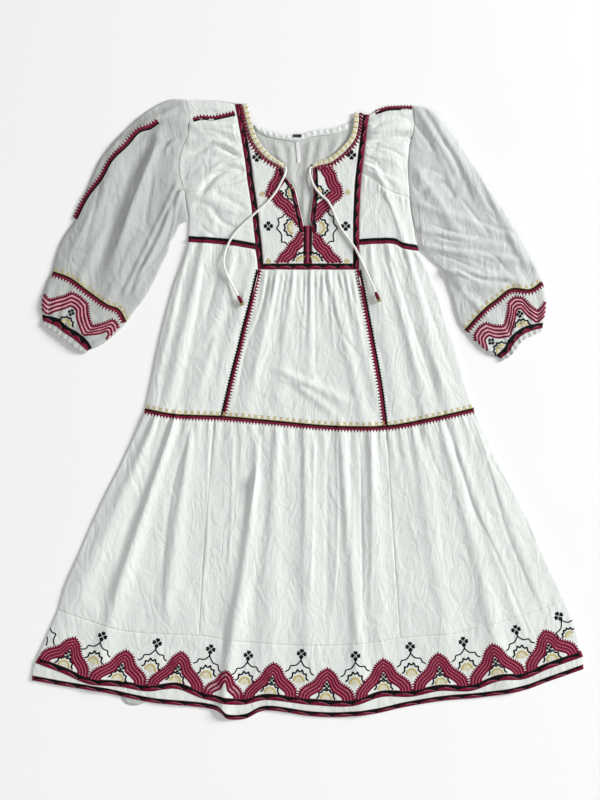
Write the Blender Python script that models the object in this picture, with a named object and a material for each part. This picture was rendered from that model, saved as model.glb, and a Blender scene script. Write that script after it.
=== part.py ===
"""A tiered peasant dress laid flat on its back, front up.

Row frame: X points right in a view from above, Y towards the neck, Z up from the surface that
the dress lies on.  "left" and "right" in the names are also as seen from above.  Tables are in
millimetres from the centre front, near the waist seam; SCALE turns them into metres.
"""
import math

import bmesh
import bpy
import numpy as np
from mathutils import Matrix, Vector

SCALE = 0.001

# Cloth layers, in millimetres
BACK_TOP = 1.2            # the back lies flat from 0 up to here
FRONT_UNDER = 1.5         # the front starts here, just clear of the back
WALL = 1.5                # front wall
TUBE_WALL = 1.2           # sleeve wall
RAISED = 0.7              # how far a sewn-on band stands proud of the cloth
SEAM_GAP = 0.34           # plan gap left at a seam
LAY_GAP = 0.3             # height gap under what lies on a panel
PUFF = 2.2                # how far the front rises away from its side edges
PUFF_REACH = 20.0
SIDE_REACH = 6.0          # how far from a side edge the folds reach their height
FOLD_STEEP = 0.55         # width of a fold's steep side as a share of its soft side
FOLD_JOIN = 0.35          # how much of the lower fold still shows where two meet
FOLD_FADE = 1.5           # how many widths a fold takes to die out past its ends
SLEEVE_PUFF = 3.0         # how far a sleeve's top rises above its edges
SLEEVE_EDGE = 1.7         # middle height of a sleeve's folded edge
EDGE_ROUND = 7.0          # how far in a folded edge is round
SEAM_SHARE = 0.12         # share of a sleeve's length over which it rises from the armhole
SLEEVE_CELLS = 15         # stations across a sleeve between its folded edges
ARMHOLE_CELLS = 10        # rings from the armhole to the wrist band
WRIST_RIPPLES = 7         # ripples of a wrist band
CUFF_RIPPLES = 9          # ripples of a cuff's ruffle
CASING_GATHERS = 15       # gathers of the casing inside the back neck
CASING_WAVE = (0.6, 1.0, 0.0)  # height of those gathers at the casing's edge, middle and foot

# Sizes of small pieces
BAND_WIDTH = 11.0
RIBBON_WIDTH = 12.0
EDGE_RIBBON_WIDTH = 10.0  # the ribbon along the hem's edge
HEM_SAMPLES = 24          # samples down the hem band that place its ribbons
RIBBON_WALL = 1.0
BIB_FOOT = 271            # y of the bib's lower edge
BAND_FOOT = 260           # y of its bottom band's lower edge
SLIT_FOOT = 342           # y where the slit ends and the placket starts
CASING_WALL = 1.2
LABEL_WALL = 0.8
CORD_DIAMETER = 4.4
CORD_STEP = 11.0          # spacing of the cord's points
TASSEL_HEAD = 11.0
TASSEL_RADIUS = 3.2
TASSEL_NECK = 0.75        # radius where the cord enters, as a share of the head's
TASSEL_STRANDS = 8
STRAND_LENGTH = 9.0
STRAND_ROOT = 2.0         # how deep a strand starts inside the head
STRAND_RADIUS = 0.7
STRAND_TIP = 0.4

# Cells of the front panels, across and along
CELLS = {
    "bib": 4,
    "shoulder_left": (8, 3),
    "shoulder_right": (10, 1),
    "chest_upper_left": (9, 22),
    "chest_upper_right": (10, 20),
    "chest_lower_left": (12, 5),
    "chest_lower_right": (20, 5),
    "waist_band": (14, 1),
    "bib_band_bottom": (16, 1),
    "skirt_upper_left": (14, 8),
    "skirt_upper_centre": (36, 7),
    "skirt_upper_right": (14, 8),
    "skirt_lower_left": (18, 7),
    "skirt_lower_centre": (30, 7),
    "skirt_lower_right": (20, 7),
    "hem_band": 56,
}

# Gathers sewn into the front panels
GATHERS = {
    # panel: edge, number, height, reach as a share of the panel
    "chest_upper_left": ("right", 11, 2.6, 0.55),
    "chest_upper_right": ("left", 10, 2.4, 0.5),
    "chest_lower_right": ("top", 10, 1.6, 0.3),
    "skirt_upper_left": ("top", 7, 2.0, 0.16),
    "skirt_upper_centre": ("top", 18, 3.2, 0.4),
    "skirt_upper_right": ("top", 7, 2.0, 0.16),
    "skirt_lower_left": ("top", 7, 2.4, 0.22),
    "skirt_lower_centre": ("top", 15, 2.4, 0.22),
    "skirt_lower_right": ("top", 8, 2.4, 0.22),
}

# Seam lines, (x, y) named points from top to bottom or from left to right
NECK_EDGE_LEFT = [(-114, 572), (-106, 541), (-95, 506), (-72, 477), (-46, 459)]
NECK_EDGE_RIGHT = [(86, 555), (85, 535), (80, 512), (66, 493), (40, 471), (8, 459)]
BACK_NECK = [(-103, 535), (-86, 524), (-58, 516), (-22, 512), (9, 521), (50, 526), (72, 536)]

# Bib halves: a row for each section, band side and slit side
BIB_LEFT = [
    # band x, band y, slit x, slit y
    (-126, 571, -123.5, 571),
    (-120, 538, -115.5, 538),
    (-113, 500, -103, 500),
    (-108, 470, -79, 470),
    (-105, 449, -46, 449),
    (-103, 430, -43, 436),
    (-99, 405, -24, 411),
    (-95, 378, -17, 381),
    (-92, 352, -10, 352),
    (-91, 340, -8, 342),
    (-87, 305, -8, 305),
    (-84, 271, -8, 271),
]
BIB_RIGHT = [
    # slit x, slit y, band x, band y
    (95.5, 554, 104, 551),
    (94.5, 534, 101, 532),
    (88.5, 507, 98, 506),
    (72, 485, 95, 483),
    (44, 462, 92.5, 461),
    (8, 449, 91, 449),
    (9, 425, 88.5, 425),
    (9, 400, 87, 400),
    (6, 375, 86, 375),
    (3, 352, 85, 352),
    (7, 342, 85, 342),
    (7, 305, 85, 305),
    (7, 271, 85, 271),
]
BAND_FOOT_LEFT = (-83, BAND_FOOT)
BAND_FOOT_RIGHT = (85, BAND_FOOT)

SHOULDER_TOP_LEFT = [(-231, 579), (-203, 580), (-173, 579), (-137, 575)]
SHOULDER_SEAM_LEFT = [(-223, 540), (-199, 543), (-177, 542), (-134, 551)]
SHOULDER_TOP_RIGHT = [(115, 551.5), (131, 560), (151, 567), (168, 569), (184, 569), (197, 568)]
SHOULDER_SEAM_RIGHT = [(113, 545), (128, 551), (147, 558), (160, 558), (174, 560), (197, 560)]
ARMHOLE_LEFT = [(-231, 579), (-223, 542), (-226, 515), (-237, 487), (-243, 460), (-240, 430),
                (-231, 404)]
ARMHOLE_RIGHT = [(197, 568), (199, 540), (196, 513), (190, 487), (188, 450), (191, 397),
                 (197, 355), (201, 333)]
MID_SEAM_LEFT = [(-231, 404), (-197, 408), (-168, 414), (-138, 421), (-113.5, 430)]
MID_SEAM_RIGHT = [(101, 441), (120, 432), (144, 412), (164, 403), (191, 395)]
BAND_TOP_LEFT = [(-225, 323), (-148, 317), (-100, 309)]
BAND_LOW_LEFT = [(-225, 312), (-148, 306), (-99, 298)]
BAND_TOP_RIGHT = [(96, 317), (130, 319), (164, 318), (176, 311), (205, 306)]
BAND_LOW_RIGHT = [(96, 306), (130, 308), (164, 307), (180, 299), (208, 295)]
BODY_SIDE_LEFT = [(-231, 404), (-224, 360), (-225, 323)]
BODY_SIDE_RIGHT = [(191, 395), (197, 355), (201, 333), (201, 318), (205, 306)]

SKIRT_SIDE_LEFT = [(-225, 312), (-235, 278), (-250, 241), (-261, 203), (-271, 165), (-280, 128),
                   (-288, 90), (-298, 40), (-307, -3)]
SKIRT_SIDE_RIGHT = [(208, 295), (226, 259), (241, 222), (250, 195), (259, 165), (273, 128),
                    (284, 90), (297, 40), (312, -2)]
YOKE_SEAM_LEFT = [(-99, 298), (-94, 260), (-103, 222), (-112, 185), (-122, 148), (-131, 110),
                  (-141, 72), (-151, 30), (-162, -17)]
YOKE_SEAM_RIGHT = [(96, 306), (96, 260), (104, 222), (111, 185), (118, 148), (125, 110),
                   (132, 72), (139, 30), (147, -35)]
WAIST_SEAM = [(-307, -3), (-252, -13), (-162, -17), (-60, -26), (41, -35), (147, -35),
              (232, -20), (312, -2)]
LOWER_SIDE_LEFT = [(-307, -3), (-327, -51), (-353, -107), (-382, -164), (-408, -220),
                   (-432, -276), (-457, -333), (-470, -379)]
LOWER_SIDE_RIGHT = [(312, -2), (335, -51), (361, -107), (391, -164), (419, -220), (444, -276),
                    (466, -325), (481, -358)]
PANEL_SEAM_LEFT = [(-176, -17), (-187, -160), (-198, -306), (-205, -427)]
PANEL_SEAM_RIGHT = [(147, -35), (156, -180), (166, -330), (173, -432)]
HEM_SEAM = [(-470, -379), (-427, -394), (-385, -408), (-347, -418), (-298, -423), (-205, -427),
            (-159, -434), (-89, -441), (4, -446), (101, -442), (173, -432), (216, -428),
            (274, -423), (331, -409), (392, -392), (438, -377), (481, -358)]
HEM_EDGE = [(-518, -512), (-444, -525), (-386, -534), (-346, -543), (-298, -553), (-170, -569),
            (-150, -584), (-118, -584), (-83, -569), (4, -579), (51, -581), (128, -574),
            (177, -563), (246, -551), (331, -543), (408, -530), (446, -516), (517, -491)]
HEM_SIDE_LEFT = [(-470, -379), (-487, -417), (-500, -446), (-513, -474), (-519, -500),
                 (-518, -512)]
HEM_SIDE_RIGHT = [(481, -358), (494, -389), (504, -417), (511, -446), (517, -474), (517, -491)]
HEM_RIBBON = [(-509, -473), (-458, -492), (-413, -511), (-347, -518), (-302, -526), (-246, -521),
              (-194, -540), (-124, -551), (-79, -542), (4, -551), (82, -553), (139, -536),
              (193, -536), (246, -525), (305, -525), (361, -505), (404, -503), (449, -484),
              (515, -461)]
BACK_HEM_EDGE = [(-516, -510), (-444, -523), (-366, -530), (-342, -557), (-318, -560),
                 (-296, -551), (-172, -566), (-80, -567), (4, -577), (51, -579), (128, -572),
                 (177, -561), (246, -549), (331, -541), (408, -528), (446, -514), (515, -489)]

# Sleeves, outer edge and inner edge from the armhole to the embroidered band
SLEEVE_OUTER_LEFT = [(-231, 579), (-261, 579), (-293, 564), (-323, 541), (-361, 504), (-391, 466),
                     (-408, 429), (-423, 391), (-438, 353), (-462, 316), (-475, 280), (-481, 255)]
SLEEVE_INNER_LEFT = [(-231, 404), (-229, 378), (-226, 354), (-241, 344), (-250, 325), (-259, 310),
                     (-263, 294), (-272, 276), (-288, 241), (-310, 203), (-327, 182), (-342, 160)]
SAWTOOTH_LEFT = [(-481, 255), (-448, 243), (-412, 217), (-376, 192), (-356, 184), (-342, 160)]
WRIST_OUTER_LEFT = [(-481, 255), (-489, 241), (-496, 222), (-502, 203), (-502, 186), (-499, 170)]
WRIST_INNER_LEFT = [(-342, 160), (-355, 146), (-380, 124), (-398, 114), (-410, 110)]
CUFF_LINE_LEFT = [(-499, 170), (-468, 163), (-454, 150), (-434, 139), (-418, 124), (-410, 110)]
RUFFLE_LEFT = [(-499, 159), (-483, 147), (-455, 128), (-433, 110), (-417, 103)]
SLEEVE_OUTER_RIGHT = [(197, 568), (220, 565), (237, 557), (254, 542), (282, 504), (306, 466),
                      (331, 429), (357, 391), (382, 353), (404, 316), (426, 274), (441, 237)]
SLEEVE_INNER_RIGHT = [(201, 333), (213, 322), (214, 300), (231, 279), (251, 260), (259, 241),
                      (266, 222), (272, 203), (276, 184), (282, 165), (287, 154), (294, 144)]
SAWTOOTH_RIGHT = [(441, 237), (417, 221), (381, 222), (355, 203), (331, 184), (294, 144)]
WRIST_OUTER_RIGHT = [(441, 237), (446, 222), (449, 203), (448, 184), (444, 165), (441, 155)]
WRIST_INNER_RIGHT = [(294, 144), (308, 128), (327, 110), (344, 100), (357, 96)]
CUFF_LINE_RIGHT = [(441, 155), (416, 152), (394, 141), (379, 126), (373, 112), (357, 96)]
RUFFLE_RIGHT = [(441, 145), (420, 136), (402, 126), (391, 111), (380, 98), (364, 88)]

# Folds of the front, as soft ridges from a start to an end
FOLDS = [
    # start x, start y, end x, end y, start width, end width, height, steep side
    (-196, 300, -266, 0, 9, 20, 6.5, 1),
    (-232, 276, -292, 4, 7, 12, 4.0, 1),
    (-140, 296, -214, -6, 8, 24, 4.5, 0),
    (-110, 250, -168, 40, 8, 16, 3.5, 0),
    (-62, 246, -116, 0, 8, 20, 4.5, 0),
    (-28, 246, -52, 40, 7, 16, 3.5, 1),
    (6, 250, 4, 90, 6, 12, 4.0, 1),
    (40, 246, 104, -18, 6, 14, 4.5, 1),
    (72, 246, 128, 20, 7, 12, 3.5, 0),
    (-34, 62, 44, 26, 9, 12, 5.0, -1),
    (-10, 34, 30, 4, 8, 8, 3.5, 1),
    (116, 296, 176, -20, 8, 18, 4.0, 0),
    (150, 298, 222, -14, 8, 16, 5.0, 1),
    (186, 288, 266, -8, 7, 16, 5.0, 1),
    (-250, -20, -352, -330, 7, 16, 7.5, 1),
    (-222, -60, -262, -330, 8, 20, 5.0, 1),
    (-284, -20, -420, -330, 8, 22, 5.0, 0),
    (-100, -140, -138, -400, 7, 22, 7.5, 1),
    (-60, -60, -72, -420, 9, 26, 4.0, 0),
    (-6, -50, -2, -420, 8, 24, 4.0, 1),
    (60, -46, 92, -420, 8, 16, 5.5, 1),
    (118, -48, 132, -400, 8, 20, 4.0, 0),
    (196, -34, 256, -400, 8, 22, 5.0, 1),
    (250, -30, 340, -380, 8, 18, 5.5, 1),
    (286, -90, 392, -384, 8, 14, 6.0, 1),
    (322, -60, 430, -350, 7, 12, 5.0, 1),
    (-138, -400, -160, -572, 16, 16, 6.5, 1),
    (-352, -330, -398, -500, 16, 22, 4.0, 1),
    (340, -380, 372, -520, 16, 20, 4.0, 0),
    (92, -420, 96, -560, 14, 20, 3.5, 0),
    (-222, 530, -150, 515, 8, 10, 3.5, -1),
    (-226, 478, -140, 484, 12, 9, 3.0, -1),
    (-214, 436, -130, 462, 10, 8, 2.6, 1),
    (-180, 392, -124, 372, 22, 14, 2.6, 1),
    (180, 524, 118, 505, 10, 8, 4.0, -1),
    (178, 478, 114, 466, 14, 8, 3.0, -1),
    (160, 424, 118, 448, 9, 7, 2.6, 1),
    (146, 402, 178, 318, 7, 9, 3.0, 1),
]

# Folds of the sleeves, in the same columns
SLEEVE_FOLDS = [
    (-214, 543, -300, 540, 11, 13, 5.0, 0),
    (-262, 552, -352, 500, 8, 10, 4.0, -1),
    (-262, 500, -334, 280, 14, 18, 5.5, 1),
    (-316, 500, -394, 300, 16, 22, 5.0, 0),
    (-240, 402, -322, 232, 6, 7, 4.0, 1),
    (-252, 408, -340, 226, 5, 6, 3.5, 1),
    (-370, 440, -440, 290, 16, 20, 4.0, 0),
    (-334, 290, -372, 214, 14, 12, 3.5, 1),
    (-400, 300, -424, 248, 14, 12, 3.5, 0),
    (212, 548, 262, 470, 9, 12, 4.5, 1),
    (236, 546, 322, 400, 11, 16, 4.5, 1),
    (214, 430, 262, 360, 12, 14, 4.0, -1),
    (226, 376, 330, 340, 9, 12, 3.5, -1),
    (232, 330, 350, 306, 8, 10, 4.0, -1),
    (240, 300, 372, 280, 8, 9, 4.5, -1),
    (268, 256, 372, 246, 7, 8, 5.5, -1),
    (330, 420, 396, 300, 13, 16, 4.0, 1),
    (290, 224, 320, 190, 9, 9, 3.5, 1),
    (392, 250, 400, 228, 10, 10, 3.0, 0),
]

# Drawcord routes on the front, laid by hand from the binding's end to the tassel
CORD_LEFT = [
    # x, y, height of the centre above the surface
    (-43.4, 452.5, 4.8),
    (-41.6, 448.5, 5.4),
    (-41.8, 443, 7.3),
    (-45, 434, 8.0),
    (-51, 422, 7.9),
    (-60, 406, 7.9),
    (-76, 386, 7.9),
    (-94, 370, 8.9),
    (-110, 355, 8.5),
    (-127, 339, 8.0),
    (-140, 324, 8.5),
    (-149, 308, 9.6),
    (-156, 290, 9.7),
    (-158, 270, 10.9),
    (-152, 250, 12.4),
    (-142, 230, 11.4),
    (-131, 210, 12.4),
]
CORD_RIGHT = [
    (5.4, 452.5, 4.8),
    (3.6, 448.5, 5.0),
    (3.0, 442, 6.2),
    (5, 432, 7.8),
    (11, 417, 8.0),
    (22, 402, 7.9),
    (37, 388, 7.9),
    (46, 372, 7.9),
    (53, 354, 7.9),
    (63, 335, 7.9),
    (76, 317, 8.2),
    (88, 300, 8.7),
    (99, 278, 8.8),
    (109, 256, 9.6),
    (118, 236, 11.1),
    (126, 217, 13.3),
]

# Colours, linear, and roughness
IVORY = (0.76, 0.77, 0.72)
EMBROIDERED = (0.78, 0.74, 0.68)
CRIMSON = (0.27, 0.008, 0.045)
GOLD = (0.58, 0.50, 0.28)
DARK = (0.02, 0.02, 0.022)
WHITE = (0.82, 0.82, 0.82)


def start_scene():
    """Empty the scene and make a collection for the dress and one for its cutters."""
    for item in list(bpy.data.objects):
        bpy.data.objects.remove(item, do_unlink=True)
    made = [bpy.data.collections.new(name) for name in ("peasant_dress", "tassel_strands")]
    for collection in made:
        bpy.context.scene.collection.children.link(collection)
    return made


def material(name, colour, roughness=0.85):
    """A plain cloth material."""
    made = bpy.data.materials.new(name)
    made.use_nodes = True
    shader = made.node_tree.nodes["Principled BSDF"]
    shader.inputs["Base Color"].default_value = (*colour, 1.0)
    shader.inputs["Roughness"].default_value = roughness
    shader.inputs["Metallic"].default_value = 0.0
    return made


def curve_through(points, stations, by_point=False):
    """Places along a smooth curve through named points, at shares of its length or points."""
    points = np.array(points, float)
    chords = np.linalg.norm(np.diff(points, axis=0), axis=1)
    knots = np.concatenate([[0.0], np.cumsum(np.sqrt(chords))])
    if len(points) == 2:
        return points[0] + np.outer(stations, points[1] - points[0])
    slopes = np.gradient(points, knots, axis=0)

    def place(at):
        span = np.clip(np.searchsorted(knots, at, "right") - 1, 0, len(points) - 2)
        step = knots[span + 1] - knots[span]
        s = ((at - knots[span]) / step)[:, None]
        step = step[:, None]
        start = (2 * s**3 - 3 * s**2 + 1) * points[span] + step * (s**3 - 2 * s**2 + s) * slopes[span]
        end = (3 * s**2 - 2 * s**3) * points[span + 1] + step * (s**3 - s**2) * slopes[span + 1]
        return start + end

    if by_point:
        return place(np.interp(np.array(stations) * (len(points) - 1), range(len(points)), knots))
    fine_at = np.linspace(0.0, knots[-1], 30 * len(points))
    fine = place(fine_at)
    run = np.concatenate([[0.0], np.cumsum(np.linalg.norm(np.diff(fine, axis=0), axis=1))])
    return place(np.interp(np.array(stations) * run[-1], run, fine_at))


def even(count):
    """Even stations from 0 to 1 for so many cells."""
    return np.linspace(0.0, 1.0, count + 1)


def part_of(points, start, end, count=25):
    """The stretch of a smooth curve between the places nearest to two points."""
    stations = even(600)
    fine = curve_through(points, stations)
    first = np.argmin(np.linalg.norm(fine - np.array(start), axis=1))
    last = np.argmin(np.linalg.norm(fine - np.array(end), axis=1))
    return [tuple(p) for p in curve_through(points, np.linspace(first, last, count) / 600.0)]


def coons(top, bottom, left, right, columns, rows, by_point=False):
    """Plan of a panel filled in between its four seams, as rows of (x, y) places."""
    top_at = curve_through(top, columns)
    bottom_at = curve_through(bottom, columns)
    left_at = curve_through(left, rows, by_point)
    right_at = curve_through(right, rows, by_point)
    plan = np.zeros((len(rows), len(columns), 2))
    for i, v in enumerate(rows):
        for j, u in enumerate(columns):
            seams = (1 - v) * top_at[j] + v * bottom_at[j] + (1 - u) * left_at[i] + u * right_at[i]
            corners = ((1 - u) * (1 - v) * top_at[0] + u * (1 - v) * top_at[-1]
                       + (1 - u) * v * bottom_at[0] + u * v * bottom_at[-1])
            plan[i, j] = seams - corners
    return plan


def ruled(sections, columns, at_rows=None):
    """Plan of a panel between two rails given row by row."""
    table = np.array(sections, float)
    at_rows = np.arange(len(table)) if at_rows is None else np.array(at_rows)
    stations = at_rows / (len(table) - 1)
    left_at = curve_through(table[:, :2], stations, by_point=True)
    right_at = curve_through(table[:, 2:], stations, by_point=True)
    return np.array([[a + (b - a) * u for u in columns] for a, b in zip(left_at, right_at)])


def strip(top, bottom, across, along):
    """Plan of a band between two lines, its ends straight."""
    ends = [[top[k], bottom[k]] for k in (0, -1)]
    return coons(top, bottom, *ends, even(across), even(along))


def loop_of(plan):
    """Row and column of each place on the edge of a plan, in order round it."""
    rows, columns = plan.shape[:2]
    loop = [(0, j) for j in range(columns)]
    loop += [(i, columns - 1) for i in range(1, rows)]
    loop += [(rows - 1, j) for j in range(columns - 2, -1, -1)]
    loop += [(i, 0) for i in range(rows - 2, 0, -1)]
    return loop


def draw_in(outline, distance):
    """A closed outline moved inwards, its corners mitred."""
    outline = np.array(outline, float)
    ahead = np.roll(outline, -1, axis=0)
    area = np.sum(outline[:, 0] * ahead[:, 1] - ahead[:, 0] * outline[:, 1])
    turn = 1.0 if area > 0 else -1.0
    edge = ahead - outline
    edge /= np.linalg.norm(edge, axis=1)[:, None]
    inward = turn * np.stack([-edge[:, 1], edge[:, 0]], axis=1)
    before = np.roll(inward, 1, axis=0)
    mitre = inward + before
    spread = np.maximum(1.0 + np.sum(inward * before, axis=1), 0.35)
    return outline + distance * mitre / spread[:, None]


def with_gap(plan, distance=SEAM_GAP / 2):
    """A plan whose edge is drawn in by half a seam gap."""
    plan = plan.copy()
    loop = loop_of(plan)
    moved = draw_in([plan[i, j] for i, j in loop], distance)
    for (i, j), place in zip(loop, moved):
        plan[i, j] = place
    return plan


def fold_lift(x, y, folds):
    """How far the folds of a table lift the cloth at a place."""
    lift = np.zeros_like(x)
    for x0, y0, x1, y1, width0, width1, height, steep in folds:
        length = math.hypot(x1 - x0, y1 - y0)
        along = ((x - x0) * (x1 - x0) + (y - y0) * (y1 - y0)) / length**2
        across = ((x - x0) * (y1 - y0) - (y - y0) * (x1 - x0)) / length
        width = width0 + (width1 - width0) * np.clip(along, 0.0, 1.0)
        narrow = np.where(across * steep > 0, FOLD_STEEP, 1.0)
        past = np.maximum(np.maximum(-along, along - 1.0), 0.0) * length / (FOLD_FADE * width)
        ridge = height * np.exp(-((across / (width * narrow)) ** 2) - past**2)
        lift = np.maximum(lift, ridge) + FOLD_JOIN * np.minimum(lift, ridge)
    return lift


def side_x(side, y):
    """X of a side line at a height."""
    line = np.array(side, float)
    order = np.argsort(line[:, 1])
    return np.interp(y, line[order, 1], line[order, 0])


def line_y(line, x):
    """Y of a line across the dress at a place along it."""
    line = np.array(line, float)
    return np.interp(x, line[:, 0], line[:, 1])


BODY_LEFT = BODY_SIDE_LEFT + SKIRT_SIDE_LEFT[1:] + LOWER_SIDE_LEFT[1:] + HEM_SIDE_LEFT[1:]
BODY_RIGHT = BODY_SIDE_RIGHT + SKIRT_SIDE_RIGHT[1:] + LOWER_SIDE_RIGHT[1:] + HEM_SIDE_RIGHT[1:]


def front_lift(x, y):
    """Height of the front's underside over its lowest, from puff and folds."""
    inside = np.minimum(x - side_x(BODY_LEFT, y), side_x(BODY_RIGHT, y) - x)
    inside = np.maximum(inside, 0.0)
    ends = np.minimum(line_y(SHOULDER_TOP_LEFT + SHOULDER_TOP_RIGHT, x) - y, y - line_y(HEM_EDGE, x))
    near_edge = np.minimum(inside, np.maximum(ends, 0.0))
    puff = PUFF * (1.0 - np.exp(-near_edge / PUFF_REACH))
    at_side = 1.0 - np.exp(-inside / SIDE_REACH)
    return puff + fold_lift(x, y, FOLDS) * at_side


def gather_lift(rows, columns, edge, count, height, reach):
    """Ripples that leave one edge of a panel at right angles and fade away from it."""
    u, v = np.meshgrid(columns, rows)
    along, away = {"top": (u, v), "left": (v, u), "right": (v, 1 - u)}[edge]
    which = np.floor(along * count)
    uneven = 0.72 + 0.28 * np.sin(2.3 * which + 0.7)
    long = reach * (0.75 + 0.25 * np.sin(1.7 * which))
    ripple = 0.5 - 0.5 * np.cos(2 * np.pi * along * count)
    rise = np.clip(away / (0.18 * reach), 0.0, 1.0)
    return height * uneven * ripple * rise * np.exp(-((away / long) ** 2))


class Dress:
    """Makes the pieces in the dress's collection, and their cutters in another."""

    def __init__(self, collection, cutters):
        self.collection = collection
        self.cutters = cutters

    def add(self, name, bm, colour, smooth=True):
        """Turn a bmesh into a named object of the dress."""
        mesh = bpy.data.meshes.new(name)
        bmesh.ops.recalc_face_normals(bm, faces=bm.faces)
        bm.to_mesh(mesh)
        bm.free()
        if smooth:
            mesh.shade_smooth()
            mesh.set_sharp_from_angle(angle=math.radians(50))
        mesh.materials.append(material(name, colour))
        made = bpy.data.objects.new(name, mesh)
        self.collection.objects.link(made)
        return made

    def wall(self, name, plan, under, colour, thickness=WALL):
        """A cloth wall: a grid over the plan, extruded down to its underside."""
        rows, columns = plan.shape[:2]
        bm = bmesh.new()
        bmesh.ops.create_grid(bm, x_segments=columns - 1, y_segments=rows - 1, size=1.0)
        bm.verts.ensure_lookup_table()
        for k, vert in enumerate(bm.verts):
            i, j = divmod(k, columns)
            x, y = plan[i, j]
            vert.co = Vector((x, y, under[i, j] + thickness)) * SCALE
        sheet = bmesh.ops.extrude_face_region(bm, geom=bm.faces[:])
        for vert in sheet["geom"]:
            if isinstance(vert, bmesh.types.BMVert):
                vert.co.z -= thickness * SCALE
        return self.add(name, bm, colour)

    def front(self, name, plan, colour=IVORY, extra=0.0):
        """A front panel: its plan with seam gaps, lifted by puff, folds and gathers."""
        under = FRONT_UNDER + front_lift(plan[:, :, 0], plan[:, :, 1])
        if name in GATHERS:
            across, along = CELLS[name]
            under += gather_lift(even(along), even(across), *GATHERS[name])
        self.wall(name, with_gap(plan), under, colour, WALL + extra)
        return under

    def slab(self, name, outline, colour=IVORY):
        """A flat back piece, from the surface up to the back's top."""
        line = bpy.data.curves.new(name, "CURVE")
        line.dimensions = "2D"
        line.fill_mode = "BOTH"
        line.extrude = BACK_TOP / 2 * SCALE
        spline = line.splines.new("POLY")
        places = draw_in(outline, SEAM_GAP / 2)
        spline.points.add(len(places) - 1)
        for point, (x, y) in zip(spline.points, places):
            point.co = (x * SCALE, y * SCALE, 0.0, 1.0)
        spline.use_cyclic_u = True
        line.materials.append(material(name, colour))
        made = bpy.data.objects.new(name, line)
        made.location.z = BACK_TOP / 2 * SCALE
        self.collection.objects.link(made)
        return made

    def tube(self, name, plan, tops, colour=IVORY):
        """A flattened open tube: rings across its length, a wall round an empty middle."""
        plan = with_gap(plan)
        stations, count = plan.shape[:2]
        low_columns = under_columns(count)[::-1]
        rings = []
        for inner in (False, True):
            for i in range(stations):
                rings.append(tube_ring(plan[i], tops[i], low_columns, inner))
        bm = bmesh.new()
        made = [[bm.verts.new(Vector(p) * SCALE) for p in ring] for ring in rings]
        outer, hollow = made[:stations], made[stations:]
        for shell in (outer, hollow):
            for lower, upper in zip(shell, shell[1:]):
                bridge(bm, lower, upper)
        bridge(bm, outer[0], hollow[0])
        bridge(bm, outer[-1], hollow[-1])
        return self.add(name, bm, colour)

    def cord(self, name, route, colour=IVORY):
        """A round cord along a smooth curve through its route."""
        line = bpy.data.curves.new(name, "CURVE")
        line.dimensions = "3D"
        line.bevel_depth = CORD_DIAMETER / 2 * SCALE
        line.bevel_resolution = 2
        line.use_fill_caps = True
        length = np.sum(np.linalg.norm(np.diff(np.array(route), axis=0), axis=1))
        places = curve_through(route, even(round(length / CORD_STEP)))
        spline = line.splines.new("POLY")
        spline.points.add(len(places) - 1)
        for point, (x, y, z) in zip(spline.points, places):
            point.co = (x * SCALE, y * SCALE, z * SCALE, 1.0)
        line.materials.append(material(name, colour))
        made = bpy.data.objects.new(name, line)
        self.collection.objects.link(made)
        return made


def under_columns(count):
    """Columns of a flattened tube that its underside uses: every third, and both edges."""
    return sorted(set(range(1, count - 1, 3)) | {count - 2})


def bridge(bm, first, second):
    """Faces between two rings of the same number of places."""
    for k in range(len(first)):
        after = (k + 1) % len(first)
        bm.faces.new((first[k], first[after], second[after], second[k]))


def round_rise(distance, reach):
    """0 at a folded edge, 1 once past its round."""
    return math.sqrt(max(0.0, 1.0 - (1.0 - min(distance / reach, 1.0)) ** 2))


def tube_ring(line, top, low_columns, inner):
    """One ring of a flattened tube: over its top from edge to edge, then back underneath."""
    run = np.concatenate([[0.0], np.cumsum(np.linalg.norm(np.diff(line, axis=0), axis=1))])
    width = run[-1]
    wall = TUBE_WALL if inner else 0.0

    def place(j):
        at = wall + run[j] * (width - 2.0 * wall) / width
        return (np.interp(at, run, line[:, 0]), np.interp(at, run, line[:, 1]))

    ring = []
    for j in range(len(line)):
        rise = round_rise(min(run[j], width - run[j]), EDGE_ROUND)
        height = SLEEVE_EDGE + (top[j] - wall - SLEEVE_EDGE) * rise
        ring.append((*place(j), height))
    for j in low_columns:
        rise = round_rise(min(run[j], width - run[j]), EDGE_ROUND / 2)
        ring.append((*place(j), SLEEVE_EDGE - (SLEEVE_EDGE - wall) * rise))
    return ring


def sleeve_columns(count):
    """Stations across a sleeve, closer together at its two folded edges."""
    edge = [0.0, 0.006, 0.02, 0.045]
    middle = list(np.linspace(0.08, 0.92, count))
    return np.array(edge + middle + [1.0 - q for q in reversed(edge)])


def sleeve_tops(plan, columns, ripples, height, from_seam=False):
    """Top heights of a sleeve: its puff and folds, and ripples that grow towards its end."""
    x, y = plan[:, :, 0], plan[:, :, 1]
    u = np.array(columns)[None, :]
    v = np.linspace(0.0, 1.0, plan.shape[0])[:, None]
    past_seam = np.clip(v / SEAM_SHARE, 0.0, 1.0) ** 0.5 if from_seam else 1.0
    dome = 2 * SLEEVE_EDGE + SLEEVE_PUFF * np.sin(np.pi * u) ** 0.5 * past_seam
    wave = 0.5 - 0.5 * np.cos(2 * np.pi * ripples * u + 1.3 * np.sin(5 * u))
    return dome + fold_lift(x, y, SLEEVE_FOLDS) * past_seam + height * wave * v


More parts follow.
